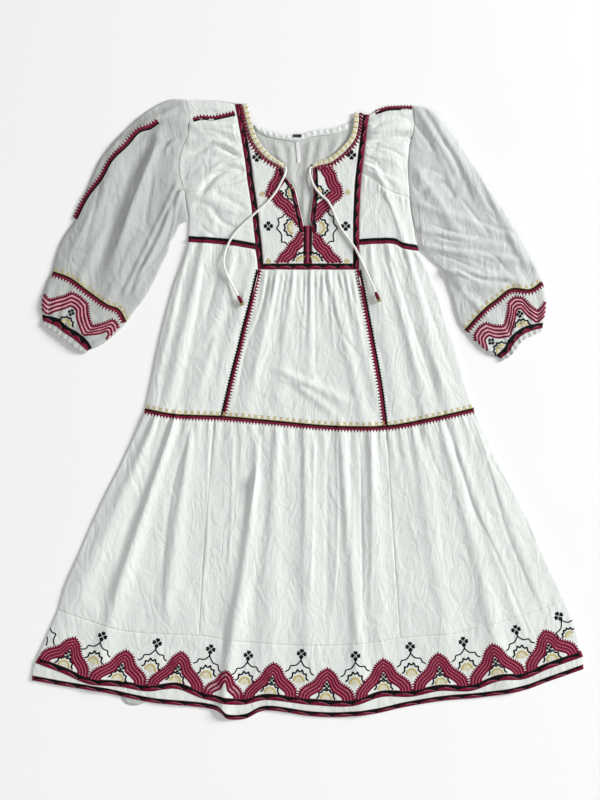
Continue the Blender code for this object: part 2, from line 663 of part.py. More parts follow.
def add_yoke(dress):
    """The embroidered bib, its bands, the placket and the neck binding."""
    left_rows = neck_rows(len(NECK_EDGE_LEFT), len(BIB_LEFT))
    right_rows = neck_rows(len(NECK_EDGE_RIGHT), len(BIB_RIGHT))
    columns = even(CELLS["bib"])
    dress.front("bib_left", ruled(BIB_LEFT, columns, left_rows), EMBROIDERED)
    dress.front("bib_right", ruled(BIB_RIGHT, columns, right_rows), EMBROIDERED)
    inner_left = [row[:2] for row in BIB_LEFT] + [BAND_FOOT_LEFT]
    inner_right = [row[2:] for row in BIB_RIGHT] + [BAND_FOOT_RIGHT]
    left_band = [(x - BAND_WIDTH, y, x, y) for x, y in inner_left]
    right_band = [(x, y, x + BAND_WIDTH, y) for x, y in inner_right]
    dress.front("bib_band_left", ruled(left_band, even(1)), CRIMSON, extra=RAISED)
    dress.front("bib_band_right", ruled(right_band, even(1)), CRIMSON, extra=RAISED)
    foot_left, foot_right = BIB_LEFT[-1][0], BIB_RIGHT[-1][2]
    plan = strip([(foot_left, BIB_FOOT), (foot_right, BIB_FOOT)], [BAND_FOOT_LEFT, BAND_FOOT_RIGHT],
                 *CELLS["bib_band_bottom"])
    dress.front("bib_band_bottom", plan, CRIMSON, extra=RAISED)
    slit_left, slit_right = BIB_LEFT[-1][2], BIB_RIGHT[-1][0]
    placket = [(slit_left, y, slit_right, y) for y in np.linspace(SLIT_FOOT, BIB_FOOT, 5)]
    dress.front("placket", ruled(placket, even(1)), CRIMSON, extra=RAISED)
    for side, edge, slit in (("left", NECK_EDGE_LEFT, [row[2:] for row in BIB_LEFT]),
                             ("right", NECK_EDGE_RIGHT, [row[:2] for row in BIB_RIGHT])):
        at_rows = np.arange(2 * len(edge) - 1) / 2
        edge_at = curve_through(edge, at_rows / (len(edge) - 1), by_point=True)
        seam_at = curve_through(slit, at_rows / (len(slit) - 1), by_point=True)
        plan = np.stack([seam_at, (seam_at + edge_at) / 2, edge_at], axis=1)
        dress.front("neck_binding_" + side, plan, EMBROIDERED, extra=RAISED)


def neck_rows(edge_count, bib_count):
    """Rows of a bib half: two a section along the neck, one a section below it."""
    return np.concatenate([np.arange(0, edge_count - 1, 0.5), np.arange(edge_count - 1, bib_count)])


def add_bodice(dress):
    """Shoulders, gathered chest pieces, lower chest pieces and waist bands."""
    outer_left = [(x - BAND_WIDTH, y) for x, y, *_ in BIB_LEFT] + [(-94, BAND_FOOT)]
    outer_right = [(x + BAND_WIDTH, y) for *_, x, y in BIB_RIGHT] + [(96, BAND_FOOT)]
    top_left, top_right = (-134, 551), (113, 545)
    arm_left, arm_right = (-223, 540), (198, 560)
    under_arm_left, under_arm_right = MID_SEAM_LEFT[0], MID_SEAM_RIGHT[-1]
    band_left, band_right = MID_SEAM_LEFT[-1], MID_SEAM_RIGHT[0]
    seams = {
        # panel: top, bottom, left side, right side
        "shoulder_left": (
            SHOULDER_TOP_LEFT, SHOULDER_SEAM_LEFT,
            part_of(ARMHOLE_LEFT, ARMHOLE_LEFT[0], arm_left),
            part_of(outer_left, outer_left[0], top_left)),
        "shoulder_right": (
            SHOULDER_TOP_RIGHT, SHOULDER_SEAM_RIGHT,
            part_of(outer_right, outer_right[0], top_right),
            part_of(ARMHOLE_RIGHT, ARMHOLE_RIGHT[0], arm_right)),
        "chest_upper_left": (
            SHOULDER_SEAM_LEFT, MID_SEAM_LEFT,
            part_of(ARMHOLE_LEFT, arm_left, under_arm_left),
            part_of(outer_left, top_left, band_left)),
        "chest_upper_right": (
            SHOULDER_SEAM_RIGHT, MID_SEAM_RIGHT,
            part_of(outer_right, top_right, band_right),
            part_of(ARMHOLE_RIGHT, arm_right, under_arm_right)),
        "chest_lower_left": (
            MID_SEAM_LEFT, BAND_TOP_LEFT, BODY_SIDE_LEFT,
            part_of(outer_left, band_left, BAND_TOP_LEFT[-1])),
        "chest_lower_right": (
            MID_SEAM_RIGHT, BAND_TOP_RIGHT,
            part_of(outer_right, band_right, BAND_TOP_RIGHT[0]), BODY_SIDE_RIGHT),
    }
    for name, (top, bottom, left, right) in seams.items():
        across, along = CELLS[name]
        dress.front(name, coons(top, bottom, left, right, even(across), even(along)))
    for side, top, foot in (("left", BAND_TOP_LEFT, BAND_LOW_LEFT),
                            ("right", BAND_TOP_RIGHT, BAND_LOW_RIGHT)):
        plan = strip(top, foot, *CELLS["waist_band"])
        dress.front("waist_band_" + side, plan, DARK, extra=RAISED)


def add_skirt(dress):
    """The upper tier's three panels and the lower tier's three panels."""
    start, end = WAIST_SEAM[0], WAIST_SEAM[-1]
    split_left, split_right = YOKE_SEAM_LEFT[-1], YOKE_SEAM_RIGHT[-1]
    centre_left, centre_right = YOKE_SEAM_LEFT[1:], YOKE_SEAM_RIGHT[1:]
    upper = {
        # panel: top, bottom, left side, right side
        "left": (BAND_LOW_LEFT, part_of(WAIST_SEAM, start, split_left), SKIRT_SIDE_LEFT,
                 YOKE_SEAM_LEFT),
        "centre": ([centre_left[0], centre_right[0]],
                   part_of(WAIST_SEAM, split_left, split_right, 13), centre_left, centre_right),
        "right": (BAND_LOW_RIGHT, part_of(WAIST_SEAM, split_right, end), YOKE_SEAM_RIGHT,
                  SKIRT_SIDE_RIGHT),
    }
    joint_left, joint_right = PANEL_SEAM_LEFT, PANEL_SEAM_RIGHT
    lower = {
        "left": (part_of(WAIST_SEAM, start, joint_left[0]),
                 part_of(HEM_SEAM, HEM_SEAM[0], joint_left[-1], 13), LOWER_SIDE_LEFT, joint_left),
        "centre": (part_of(WAIST_SEAM, joint_left[0], joint_right[0], 13),
                   part_of(HEM_SEAM, joint_left[-1], joint_right[-1], 13), joint_left, joint_right),
        "right": (part_of(WAIST_SEAM, joint_right[0], end),
                  part_of(HEM_SEAM, joint_right[-1], HEM_SEAM[-1], 13), joint_right,
                  LOWER_SIDE_RIGHT),
    }
    for tier, panels, by_point in (("skirt_upper_", upper, True), ("skirt_lower_", lower, False)):
        for side, seams in panels.items():
            across, along = CELLS[tier + side]
            plan = coons(*seams, even(across), even(along), by_point)
            dress.front(tier + side, plan)


def add_hem(dress):
    """The hem band with its two ribbons laid on it."""
    columns = even(CELLS["hem_band"])
    shares = even(HEM_SAMPLES)
    fine = coons(HEM_SEAM, HEM_EDGE, HEM_SIDE_LEFT, HEM_SIDE_RIGHT, columns, shares)
    plan = np.zeros((5, len(columns), 2))
    for j in range(len(columns)):
        x, y = fine[:, j, 0], fine[:, j, 1]
        above = y - line_y(HEM_RIBBON, x)
        middle = np.interp(0.0, -above, shares)
        depth = y[0] - y[-1]
        half = RIBBON_WIDTH / 2 / depth
        rows = [0.0, middle - half, middle + half, 1.0 - EDGE_RIBBON_WIDTH / depth, 1.0]
        plan[:, j] = np.stack([np.interp(rows, shares, x), np.interp(rows, shares, y)], axis=1)
    under = dress.front("hem_band_front", plan)
    seated = with_gap(plan)
    for name, first in (("hem_ribbon_upper", 1), ("hem_ribbon_lower", 3)):
        stretch = slice(first, first + 2)
        seat = under[stretch] + WALL + LAY_GAP
        dress.wall(name, seated[stretch], seat, CRIMSON, RIBBON_WALL)


def add_back(dress):
    """The four back pieces, flat on the surface, and the casing inside the back neck."""
    def along(points, cells, backwards=False):
        places = [tuple(p) for p in curve_through(points, even(cells))]
        return places[::-1] if backwards else places

    waist_left, waist_right = BAND_LOW_LEFT[0], BAND_LOW_RIGHT[-1]
    neck = [NECK_EDGE_LEFT[0], (-107, 546)] + BACK_NECK + [(84, 546), NECK_EDGE_RIGHT[0]]
    top = along(SHOULDER_TOP_LEFT, 6) + along(neck, 22) + along(SHOULDER_TOP_RIGHT, 6)
    columns = sleeve_columns(SLEEVE_CELLS)
    across = columns[[0] + under_columns(len(columns)) + [len(columns) - 1]]
    right = [tuple(p) for p in curve_through(ARMHOLE_RIGHT, across)[1:]] + [(201, 318), waist_right]
    left = [tuple(p) for p in curve_through(ARMHOLE_LEFT, across)[1:]] + [(-224, 360), waist_left]
    dress.slab("back_bodice", top + right + left[::-1])
    outline = ([waist_left, waist_right] + along(SKIRT_SIDE_RIGHT, 12)[1:]
               + along(WAIST_SEAM, 16, True)[1:]
               + along(SKIRT_SIDE_LEFT, 12, True)[1:-1])
    dress.slab("back_skirt_upper", outline)
    outline = (along(WAIST_SEAM, 16) + along(LOWER_SIDE_RIGHT, 10)[1:]
               + along(HEM_SEAM, 30, True)[1:] + along(LOWER_SIDE_LEFT, 10, True)[1:-1])
    dress.slab("back_skirt_lower", outline)
    outline = (along(HEM_SEAM, 30) + along(HEM_SIDE_RIGHT[:-1], 6)[1:]
               + along(BACK_HEM_EDGE, 50, True) + along(HEM_SIDE_LEFT[:-1], 6, True)[:-1])
    dress.slab("back_hem_band", outline)

    lower = [(-98, 523), (-82, 513), (-56, 506), (-22, 502), (9, 510), (48, 515), (76, 524)]
    upper = BACK_NECK[:]
    upper[0] = (-101, 533)
    upper[-1] = (74, 535)
    plan = strip(upper, lower, 2 * CASING_GATHERS, 2)
    waves = 0.5 - 0.5 * np.cos(2 * np.pi * CASING_GATHERS * even(2 * CASING_GATHERS))
    under = BACK_TOP + LAY_GAP + np.outer(CASING_WAVE, waves)
    dress.wall("neck_casing_back", plan, under, IVORY, CASING_WALL)


def add_sleeves(dress):
    """Sleeves, embroidered wrist bands and ruffled cuffs, as flattened tubes."""
    sides = {
        "left": (ARMHOLE_LEFT, SLEEVE_OUTER_LEFT, SLEEVE_INNER_LEFT, SAWTOOTH_LEFT,
                 WRIST_OUTER_LEFT, WRIST_INNER_LEFT, CUFF_LINE_LEFT, RUFFLE_LEFT),
        "right": (ARMHOLE_RIGHT, SLEEVE_OUTER_RIGHT, SLEEVE_INNER_RIGHT, SAWTOOTH_RIGHT,
                  WRIST_OUTER_RIGHT, WRIST_INNER_RIGHT, CUFF_LINE_RIGHT, RUFFLE_RIGHT),
    }
    columns = sleeve_columns(SLEEVE_CELLS)
    for side, lines in sides.items():
        armhole, outer, inner, sawtooth, wrist_out, wrist_in, cuff, ruffle = lines
        plan = coons(armhole, sawtooth, outer, inner, columns, even(ARMHOLE_CELLS), by_point=True)
        tops = sleeve_tops(plan, columns, 0, 0.0, from_seam=True)
        dress.tube("sleeve_" + side, plan, tops)
        plan = coons(sawtooth, cuff, wrist_out, wrist_in, columns, even(3))
        tops = sleeve_tops(plan, columns, WRIST_RIPPLES, 3.5)
        dress.tube("sleeve_band_" + side, plan, tops, EMBROIDERED)
        plan = coons(cuff, ruffle, [cuff[0], ruffle[0]], [cuff[-1], ruffle[-1]], columns, even(1))
        tops = sleeve_tops(plan, columns, CUFF_RIPPLES, 2.5)
        dress.tube("cuff_" + side, plan, tops)


def add_labels(dress):
    """The two bare labels inside the back neck, one on the casing and one on the back."""
    on_back = BACK_TOP + LAY_GAP
    on_casing = on_back + max(CASING_WAVE) + CASING_WALL + LAY_GAP
    plan = ruled([(-28, 514, -12, 514), (-28, 508, -12, 508)], even(1))
    dress.wall("neck_label", plan, np.full(plan.shape[:2], on_casing), DARK, LABEL_WALL)
    plan = ruled([(-24, 500, -17, 500), (-22, 480, -15, 480), (-21, 460, -14, 460)], even(1))
    dress.wall("care_label", plan, np.full(plan.shape[:2], on_back), WHITE, LABEL_WALL)


def cone(start, end, radius_start, radius_end, sides):
    """A closed cone or wedge between two places, as a bmesh."""
    run = end - start
    turn = Vector((0, 0, 1)).rotation_difference(run).to_matrix().to_4x4()
    bm = bmesh.new()
    bmesh.ops.create_cone(bm, cap_ends=True, segments=sides, radius1=radius_start * SCALE,
                          radius2=radius_end * SCALE, depth=run.length * SCALE,
                          matrix=Matrix.Translation((start + end) / 2 * SCALE) @ turn)
    return bm


def add_tassel(dress, name, route):
    """A wound head on the cord's end with loose strands fused into its foot."""
    heading = Vector(route[-1]) - Vector(route[-2])
    heading.z = 0.0
    heading.normalize()
    start = Vector(route[-1]) + heading * LAY_GAP
    foot = start + heading * TASSEL_HEAD
    head = dress.add(name, cone(start, foot, TASSEL_RADIUS * TASSEL_NECK, TASSEL_RADIUS, 10), CRIMSON)
    up = Vector((0, 0, 1))
    side = heading.cross(up)
    for k in range(TASSEL_STRANDS):
        angle = 2 * math.pi * k / TASSEL_STRANDS
        ring = (side * math.cos(angle) + up * math.sin(angle)) * TASSEL_RADIUS
        spread = 0.75 if ring.z < -0.5 * TASSEL_RADIUS else 1.05
        root = foot - heading * STRAND_ROOT + ring * 0.55
        tip = foot + heading * STRAND_LENGTH + ring * spread
        strand = dress.add(name + "_strand", cone(root, tip, STRAND_RADIUS, STRAND_TIP, 4), GOLD,
                           smooth=False)
        join = head.modifiers.new("strand", "BOOLEAN")
        join.operation = "UNION"
        join.object = strand
        join.solver = "EXACT"
        strand.hide_render = True
        strand.display_type = "WIRE"
        dress.collection.objects.unlink(strand)
        dress.cutters.objects.link(strand)


def main():
    """Build every piece of the dress."""
    dress = Dress(*start_scene())
    add_yoke(dress)
    add_bodice(dress)
    add_skirt(dress)
    add_hem(dress)
    add_back(dress)
    add_sleeves(dress)
    add_labels(dress)
    for side, route in (("left", CORD_LEFT), ("right", CORD_RIGHT)):
        dress.cord("drawcord_" + side, route)
        add_tassel(dress, "tassel_" + side, route)


main()
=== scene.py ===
"""Looks of a peasant dress laid flat: cloth, embroidery, drawcords, tassels, labels and studio.

Tables are in millimetres in the part's own frame: X right and Y towards the neck as seen from
above, Z up from the surface.  MM turns them into metres when a mesh is made.
"""
import math

import bpy
import numpy as np
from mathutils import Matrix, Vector
from mathutils.bvhtree import BVHTree
from mathutils.geometry import delaunay_2d_cdt


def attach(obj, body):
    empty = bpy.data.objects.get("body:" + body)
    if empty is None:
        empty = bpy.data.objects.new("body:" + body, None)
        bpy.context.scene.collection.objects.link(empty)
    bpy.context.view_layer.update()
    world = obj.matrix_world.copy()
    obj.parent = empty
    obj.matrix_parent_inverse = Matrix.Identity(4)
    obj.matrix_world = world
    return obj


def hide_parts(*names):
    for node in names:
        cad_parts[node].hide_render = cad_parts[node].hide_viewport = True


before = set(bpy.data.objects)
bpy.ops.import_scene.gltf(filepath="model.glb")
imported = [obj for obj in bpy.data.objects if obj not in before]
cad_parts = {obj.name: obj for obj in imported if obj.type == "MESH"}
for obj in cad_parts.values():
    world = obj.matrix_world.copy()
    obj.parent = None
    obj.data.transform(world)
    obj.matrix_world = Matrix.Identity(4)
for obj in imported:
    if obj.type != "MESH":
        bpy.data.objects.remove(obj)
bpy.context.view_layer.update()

MM = 0.001

# Cloth layers, in millimetres
BACK_TOP = 1.2            # the back lies flat from 0 up to here
FRONT_UNDER = 1.5         # the front starts here, just clear of the back
WALL = 1.5                # front wall
RAISED = 0.7              # how far a sewn-on band stands proud of the cloth
LAY_GAP = 0.3             # height gap under what lies on a panel
PUFF = 2.2                # how far the front rises away from its side edges
PUFF_REACH = 20.0         # how far in it has risen by two thirds
SIDE_REACH = 6.0          # how far from a side edge the folds reach their height
FOLD_STEEP = 0.75         # width of a fold's steep side as a share of its soft side
FOLD_JOIN = 0.35          # how much of the lower fold still shows where two meet
FOLD_FADE = 3.0           # how many widths a fold takes to die out past its ends
SLEEVE_PUFF = 3.0         # how far a sleeve's top rises above its edges
SLEEVE_EDGE = 1.7         # middle height of a sleeve's folded edge
EDGE_ROUND = 7.0          # how far in a folded edge is round
SEAM_SHARE = 0.12         # share of a sleeve's length over which it rises from the armhole
WRIST_RIPPLES = 7         # ripples of a wrist band
CUFF_RIPPLES = 9          # ripples of a cuff's ruffle
CASING_GATHERS = 15       # gathers of the casing inside the back neck
CASING_FULL = 1.3         # how much wider it was cut than it lies
CASING_WAVE = (0.6, 1.0, 0.0)  # height of those gathers at the casing's edge, middle and foot

# Sizes of small pieces
BAND_WIDTH = 11.0
BIB_FOOT = 271            # y of the bib's lower edge
BAND_FOOT = 260           # y of its bottom band's lower edge
SLIT_FOOT = 342           # y where the slit ends and the placket starts
CASING_WALL = 1.2
CORD_DIAMETER = 4.4
CORD_STEP = 11.0          # spacing of the cord's points
TASSEL_HEAD = 11.0
STRAND_LENGTH = 9.0
STRANDS = 46
GOLDEN = 0.618            # share of a turn from each strand to the next
UP = np.array([0.0, 0.0, 1.0])

# Gathered panels of the front; a panel's large gathers come before its small ones
GATHERS = {
    # panel: how much wider it was cut than it lies, the edge that draws it in, and for each
    # size of gather their number, height and reach as a share of the panel
    "chest_upper_left": (1.2, "right", (11, 2.6, 0.55), (25, 0.9, 0.3)),
    "chest_upper_right": (1.2, "left", (10, 2.4, 0.5), (23, 0.9, 0.3)),
    "chest_lower_left": (1.0, "right", (8, 0.8, 0.2)),
    "chest_lower_right": (1.1, "top", (10, 1.6, 0.3), (27, 0.7, 0.28)),
    "skirt_upper_left": (1.08, "top", (7, 2.0, 0.16), (19, 0.9, 0.08)),
    "skirt_upper_centre": (1.25, "top", (18, 3.2, 0.4), (44, 0.9, 0.17)),
    "skirt_upper_right": (1.08, "top", (7, 2.0, 0.16), (18, 0.9, 0.08)),
    "skirt_lower_left": (1.12, "top", (7, 2.4, 0.22), (19, 0.9, 0.1)),
    "skirt_lower_centre": (1.12, "top", (15, 2.4, 0.22), (43, 0.9, 0.1)),
    "skirt_lower_right": (1.12, "top", (8, 2.4, 0.22), (23, 0.9, 0.1)),
    "hem_band_front": (1.0, "top", (60, 0.3, 0.25)),
}
NOT_GATHERED = (1.0, None)

# Seam lines, (x, y) named points from top to bottom or from left to right
NECK_EDGE_LEFT = [(-114, 572), (-106, 541), (-95, 506), (-72, 477), (-46, 459)]
NECK_EDGE_RIGHT = [(86, 555), (85, 535), (80, 512), (66, 493), (40, 471), (8, 459)]
BACK_NECK = [(-103, 535), (-86, 524), (-58, 516), (-22, 512), (9, 521), (50, 526), (72, 536)]

# Bib halves: a row for each section, band side and slit side
BIB_LEFT = [
    # band x, band y, slit x, slit y
    (-126, 571, -123.5, 571),
    (-120, 538, -115.5, 538),
    (-113, 500, -103, 500),
    (-108, 470, -79, 470),
    (-105, 449, -46, 449),
    (-103, 430, -43, 436),
    (-99, 405, -24, 411),
    (-95, 378, -17, 381),
    (-92, 352, -10, 352),
    (-91, 340, -8, 342),
    (-87, 305, -8, 305),
    (-84, 271, -8, 271),
]
BIB_RIGHT = [
    # slit x, slit y, band x, band y
    (95.5, 554, 104, 551),
    (94.5, 534, 101, 532),
    (88.5, 507, 98, 506),
    (72, 485, 95, 483),
    (44, 462, 92.5, 461),
    (8, 449, 91, 449),
    (9, 425, 88.5, 425),
    (9, 400, 87, 400),
    (6, 375, 86, 375),
    (3, 352, 85, 352),
    (7, 342, 85, 342),
    (7, 305, 85, 305),
    (7, 271, 85, 271),
]
BAND_FOOT_LEFT = (-83, BAND_FOOT)
BAND_FOOT_RIGHT = (85, BAND_FOOT)

SHOULDER_TOP_LEFT = [(-231, 579), (-203, 580), (-173, 579), (-137, 575)]
SHOULDER_SEAM_LEFT = [(-223, 540), (-199, 543), (-177, 542), (-134, 551)]
SHOULDER_TOP_RIGHT = [(115, 551.5), (131, 560), (151, 567), (168, 569), (184, 569), (197, 568)]
SHOULDER_SEAM_RIGHT = [(113, 545), (128, 551), (147, 558), (160, 558), (174, 560), (197, 560)]
ARMHOLE_LEFT = [(-231, 579), (-223, 542), (-226, 515), (-237, 487), (-243, 460), (-240, 430),
                (-231, 404)]
ARMHOLE_RIGHT = [(197, 568), (199, 540), (196, 513), (190, 487), (188, 450), (191, 397),
                 (197, 355), (201, 333)]
MID_SEAM_LEFT = [(-231, 404), (-197, 408), (-168, 414), (-138, 421), (-113.5, 430)]
MID_SEAM_RIGHT = [(101, 441), (120, 432), (144, 412), (164, 403), (191, 395)]
BAND_TOP_LEFT = [(-225, 323), (-148, 317), (-100, 309)]
BAND_LOW_LEFT = [(-225, 312), (-148, 306), (-99, 298)]
BAND_TOP_RIGHT = [(96, 317), (130, 319), (164, 318), (176, 311), (205, 306)]
BAND_LOW_RIGHT = [(96, 306), (130, 308), (164, 307), (180, 299), (208, 295)]
BODY_SIDE_LEFT = [(-231, 404), (-224, 360), (-225, 323)]
BODY_SIDE_RIGHT = [(191, 395), (197, 355), (201, 333), (201, 318), (205, 306)]

SKIRT_SIDE_LEFT = [(-225, 312), (-235, 278), (-250, 241), (-261, 203), (-271, 165), (-280, 128),
                   (-288, 90), (-298, 40), (-307, -3)]
SKIRT_SIDE_RIGHT = [(208, 295), (226, 259), (241, 222), (250, 195), (259, 165), (273, 128),
                    (284, 90), (297, 40), (312, -2)]
YOKE_SEAM_LEFT = [(-99, 298), (-94, 260), (-103, 222), (-112, 185), (-122, 148), (-131, 110),
                  (-141, 72), (-151, 30), (-162, -17)]
YOKE_SEAM_RIGHT = [(96, 306), (96, 260), (104, 222), (111, 185), (118, 148), (125, 110),
                   (132, 72), (139, 30), (147, -35)]
WAIST_SEAM = [(-307, -3), (-252, -13), (-162, -17), (-60, -26), (41, -35), (147, -35),
              (232, -20), (312, -2)]
LOWER_SIDE_LEFT = [(-307, -3), (-327, -51), (-353, -107), (-382, -164), (-408, -220),
                   (-432, -276), (-457, -333), (-470, -379)]
LOWER_SIDE_RIGHT = [(312, -2), (335, -51), (361, -107), (391, -164), (419, -220), (444, -276),
                    (466, -325), (481, -358)]
PANEL_SEAM_LEFT = [(-176, -17), (-187, -160), (-198, -306), (-205, -427)]
PANEL_SEAM_RIGHT = [(147, -35), (156, -180), (166, -330), (173, -432)]
HEM_SEAM = [(-470, -379), (-427, -394), (-385, -408), (-347, -418), (-298, -423), (-205, -427),
            (-159, -434), (-89, -441), (4, -446), (101, -442), (173, -432), (216, -428),
            (274, -423), (331, -409), (392, -392), (438, -377), (481, -358)]
HEM_EDGE = [(-518, -512), (-444, -525), (-386, -534), (-346, -543), (-298, -553), (-170, -569),
            (-150, -584), (-118, -584), (-83, -569), (4, -579), (51, -581), (128, -574),
            (177, -563), (246, -551), (331, -543), (408, -530), (446, -516), (517, -491)]
HEM_SIDE_LEFT = [(-470, -379), (-487, -417), (-500, -446), (-513, -474), (-519, -500),
                 (-518, -512)]
HEM_SIDE_RIGHT = [(481, -358), (494, -389), (504, -417), (511, -446), (517, -474), (517, -491)]
HEM_RIBBON = [(-509, -473), (-458, -492), (-413, -511), (-347, -518), (-302, -526), (-246, -521),
              (-194, -540), (-124, -551), (-79, -542), (4, -551), (82, -553), (139, -536),
              (193, -536), (246, -525), (305, -525), (361, -505), (404, -503), (449, -484),
              (515, -461)]
BACK_HEM_EDGE = [(-516, -510), (-444, -523), (-366, -530), (-342, -557), (-318, -560),
                 (-296, -551), (-172, -566), (-80, -567), (4, -577), (51, -579), (128, -572),
                 (177, -561), (246, -549), (331, -541), (408, -528), (446, -514), (515, -489)]

# Sleeves, outer edge and inner edge from the armhole to the embroidered band
SLEEVE_OUTER_LEFT = [(-231, 579), (-261, 579), (-293, 564), (-323, 541), (-361, 504), (-391, 466),
                     (-408, 429), (-423, 391), (-438, 353), (-462, 316), (-475, 280), (-481, 255)]
SLEEVE_INNER_LEFT = [(-231, 404), (-229, 378), (-226, 354), (-241, 344), (-250, 325), (-259, 310),
                     (-263, 294), (-272, 276), (-288, 241), (-310, 203), (-327, 182), (-342, 160)]
SAWTOOTH_LEFT = [(-481, 255), (-448, 243), (-412, 217), (-376, 192), (-356, 184), (-342, 160)]
WRIST_OUTER_LEFT = [(-481, 255), (-489, 241), (-496, 222), (-502, 203), (-502, 186), (-499, 170)]
WRIST_INNER_LEFT = [(-342, 160), (-355, 146), (-380, 124), (-398, 114), (-410, 110)]
CUFF_LINE_LEFT = [(-499, 170), (-468, 163), (-454, 150), (-434, 139), (-418, 124), (-410, 110)]
RUFFLE_LEFT = [(-499, 159), (-483, 147), (-455, 128), (-433, 110), (-417, 103)]
SLEEVE_OUTER_RIGHT = [(197, 568), (220, 565), (237, 557), (254, 542), (282, 504), (306, 466),
                      (331, 429), (357, 391), (382, 353), (404, 316), (426, 274), (441, 237)]
SLEEVE_INNER_RIGHT = [(201, 333), (213, 322), (214, 300), (231, 279), (251, 260), (259, 241),
                      (266, 222), (272, 203), (276, 184), (282, 165), (287, 154), (294, 144)]
SAWTOOTH_RIGHT = [(441, 237), (417, 221), (381, 222), (355, 203), (331, 184), (294, 144)]
WRIST_OUTER_RIGHT = [(441, 237), (446, 222), (449, 203), (448, 184), (444, 165), (441, 155)]
WRIST_INNER_RIGHT = [(294, 144), (308, 128), (327, 110), (344, 100), (357, 96)]
CUFF_LINE_RIGHT = [(441, 155), (416, 152), (394, 141), (379, 126), (373, 112), (357, 96)]
RUFFLE_RIGHT = [(441, 145), (420, 136), (402, 126), (391, 111), (380, 98), (364, 88)]

# Folds of the front, as soft ridges from a start to an end
FOLDS = [
    # start x, start y, end x, end y, start width, end width, height, steep side
    (-196, 300, -266, 0, 9, 20, 4.6, 1),
    (-232, 276, -292, 4, 7, 12, 3.0, 1),
    (-140, 296, -214, -6, 8, 24, 3.0, 0),
    (-110, 250, -168, 40, 8, 16, 2.4, 0),
    (-62, 246, -116, 0, 8, 20, 2.8, 0),
    (-28, 246, -52, 40, 7, 16, 2.0, 1),
    (6, 250, 4, 90, 6, 12, 2.0, 1),
    (40, 246, 104, -18, 6, 14, 2.6, 1),
    (72, 246, 128, 20, 7, 12, 2.0, 0),
    (-34, 62, 44, 26, 9, 12, 5.0, -1),
    (-10, 34, 30, 4, 8, 8, 3.5, 1),
    (116, 296, 176, -20, 8, 18, 2.2, 0),
    (150, 298, 222, -14, 8, 16, 2.8, 1),
    (186, 288, 266, -8, 7, 16, 3.0, 1),
    (-250, -20, -352, -330, 7, 16, 7.5, 1),
    (-222, -60, -262, -330, 8, 20, 5.0, 1),
    (-284, -20, -420, -330, 8, 22, 5.0, 0),
    (-100, -140, -138, -400, 7, 22, 7.5, 1),
    (-60, -60, -72, -420, 9, 26, 4.0, 0),
    (-6, -50, -2, -420, 8, 24, 4.0, 1),
    (60, -46, 92, -420, 8, 16, 4.4, 1),
    (118, -48, 132, -400, 8, 20, 4.0, 0),
    (196, -34, 256, -400, 8, 22, 2.4, 1),
    (250, -30, 340, -380, 8, 18, 2.8, 1),
    (286, -90, 392, -384, 8, 14, 2.2, 1),
    (322, -60, 430, -350, 7, 12, 1.6, 1),
    (-138, -400, -160, -572, 16, 16, 6.5, 1),
    (-352, -330, -398, -500, 16, 22, 4.0, 1),
    (340, -380, 372, -520, 16, 20, 4.0, 0),
    (92, -420, 96, -560, 14, 20, 3.5, 0),
    (-222, 530, -150, 515, 8, 10, 3.5, -1),
    (-222, 502, -134, 492, 10, 8, 2.2, -1),
    (-214, 436, -130, 462, 10, 8, 2.6, 1),
    (-180, 392, -124, 372, 22, 14, 2.6, 1),
    (184, 532, 122, 520, 10, 8, 3.0, -1),
    (178, 478, 114, 466, 14, 8, 3.0, -1),
    (160, 424, 118, 448, 9, 7, 2.6, 1),
    (146, 402, 178, 318, 7, 9, 3.0, 1),
]

# Folds of the sleeves, in the same columns
SLEEVE_FOLDS = [
    (-214, 543, -300, 540, 11, 13, 5.0, 0),
    (-262, 552, -352, 500, 8, 10, 4.0, -1),
    (-286, 498, -362, 280, 11, 16, 5.5, 0),
    (-348, 490, -424, 300, 14, 18, 2.4, 0),
    (-240, 402, -322, 232, 6, 7, 4.0, 1),
    (-252, 408, -340, 226, 5, 6, 3.5, 1),
    (-370, 440, -440, 290, 16, 20, 4.0, 0),
    (-334, 290, -372, 214, 14, 12, 3.5, 1),
    (-400, 300, -424, 248, 14, 12, 3.5, 0),
    (212, 548, 262, 470, 9, 12, 4.5, 1),
    (236, 546, 322, 400, 11, 16, 4.5, 1),
    (214, 430, 262, 360, 12, 14, 4.0, -1),
    (226, 376, 330, 340, 9, 12, 3.5, -1),
    (232, 330, 350, 306, 8, 10, 4.0, -1),
    (240, 300, 372, 280, 8, 9, 4.5, -1),
    (268, 256, 372, 246, 7, 8, 5.5, -1),
    (330, 420, 396, 300, 13, 16, 4.0, 1),
    (290, 224, 320, 190, 9, 9, 3.5, 1),
    (392, 250, 400, 228, 10, 10, 3.0, 0),
]

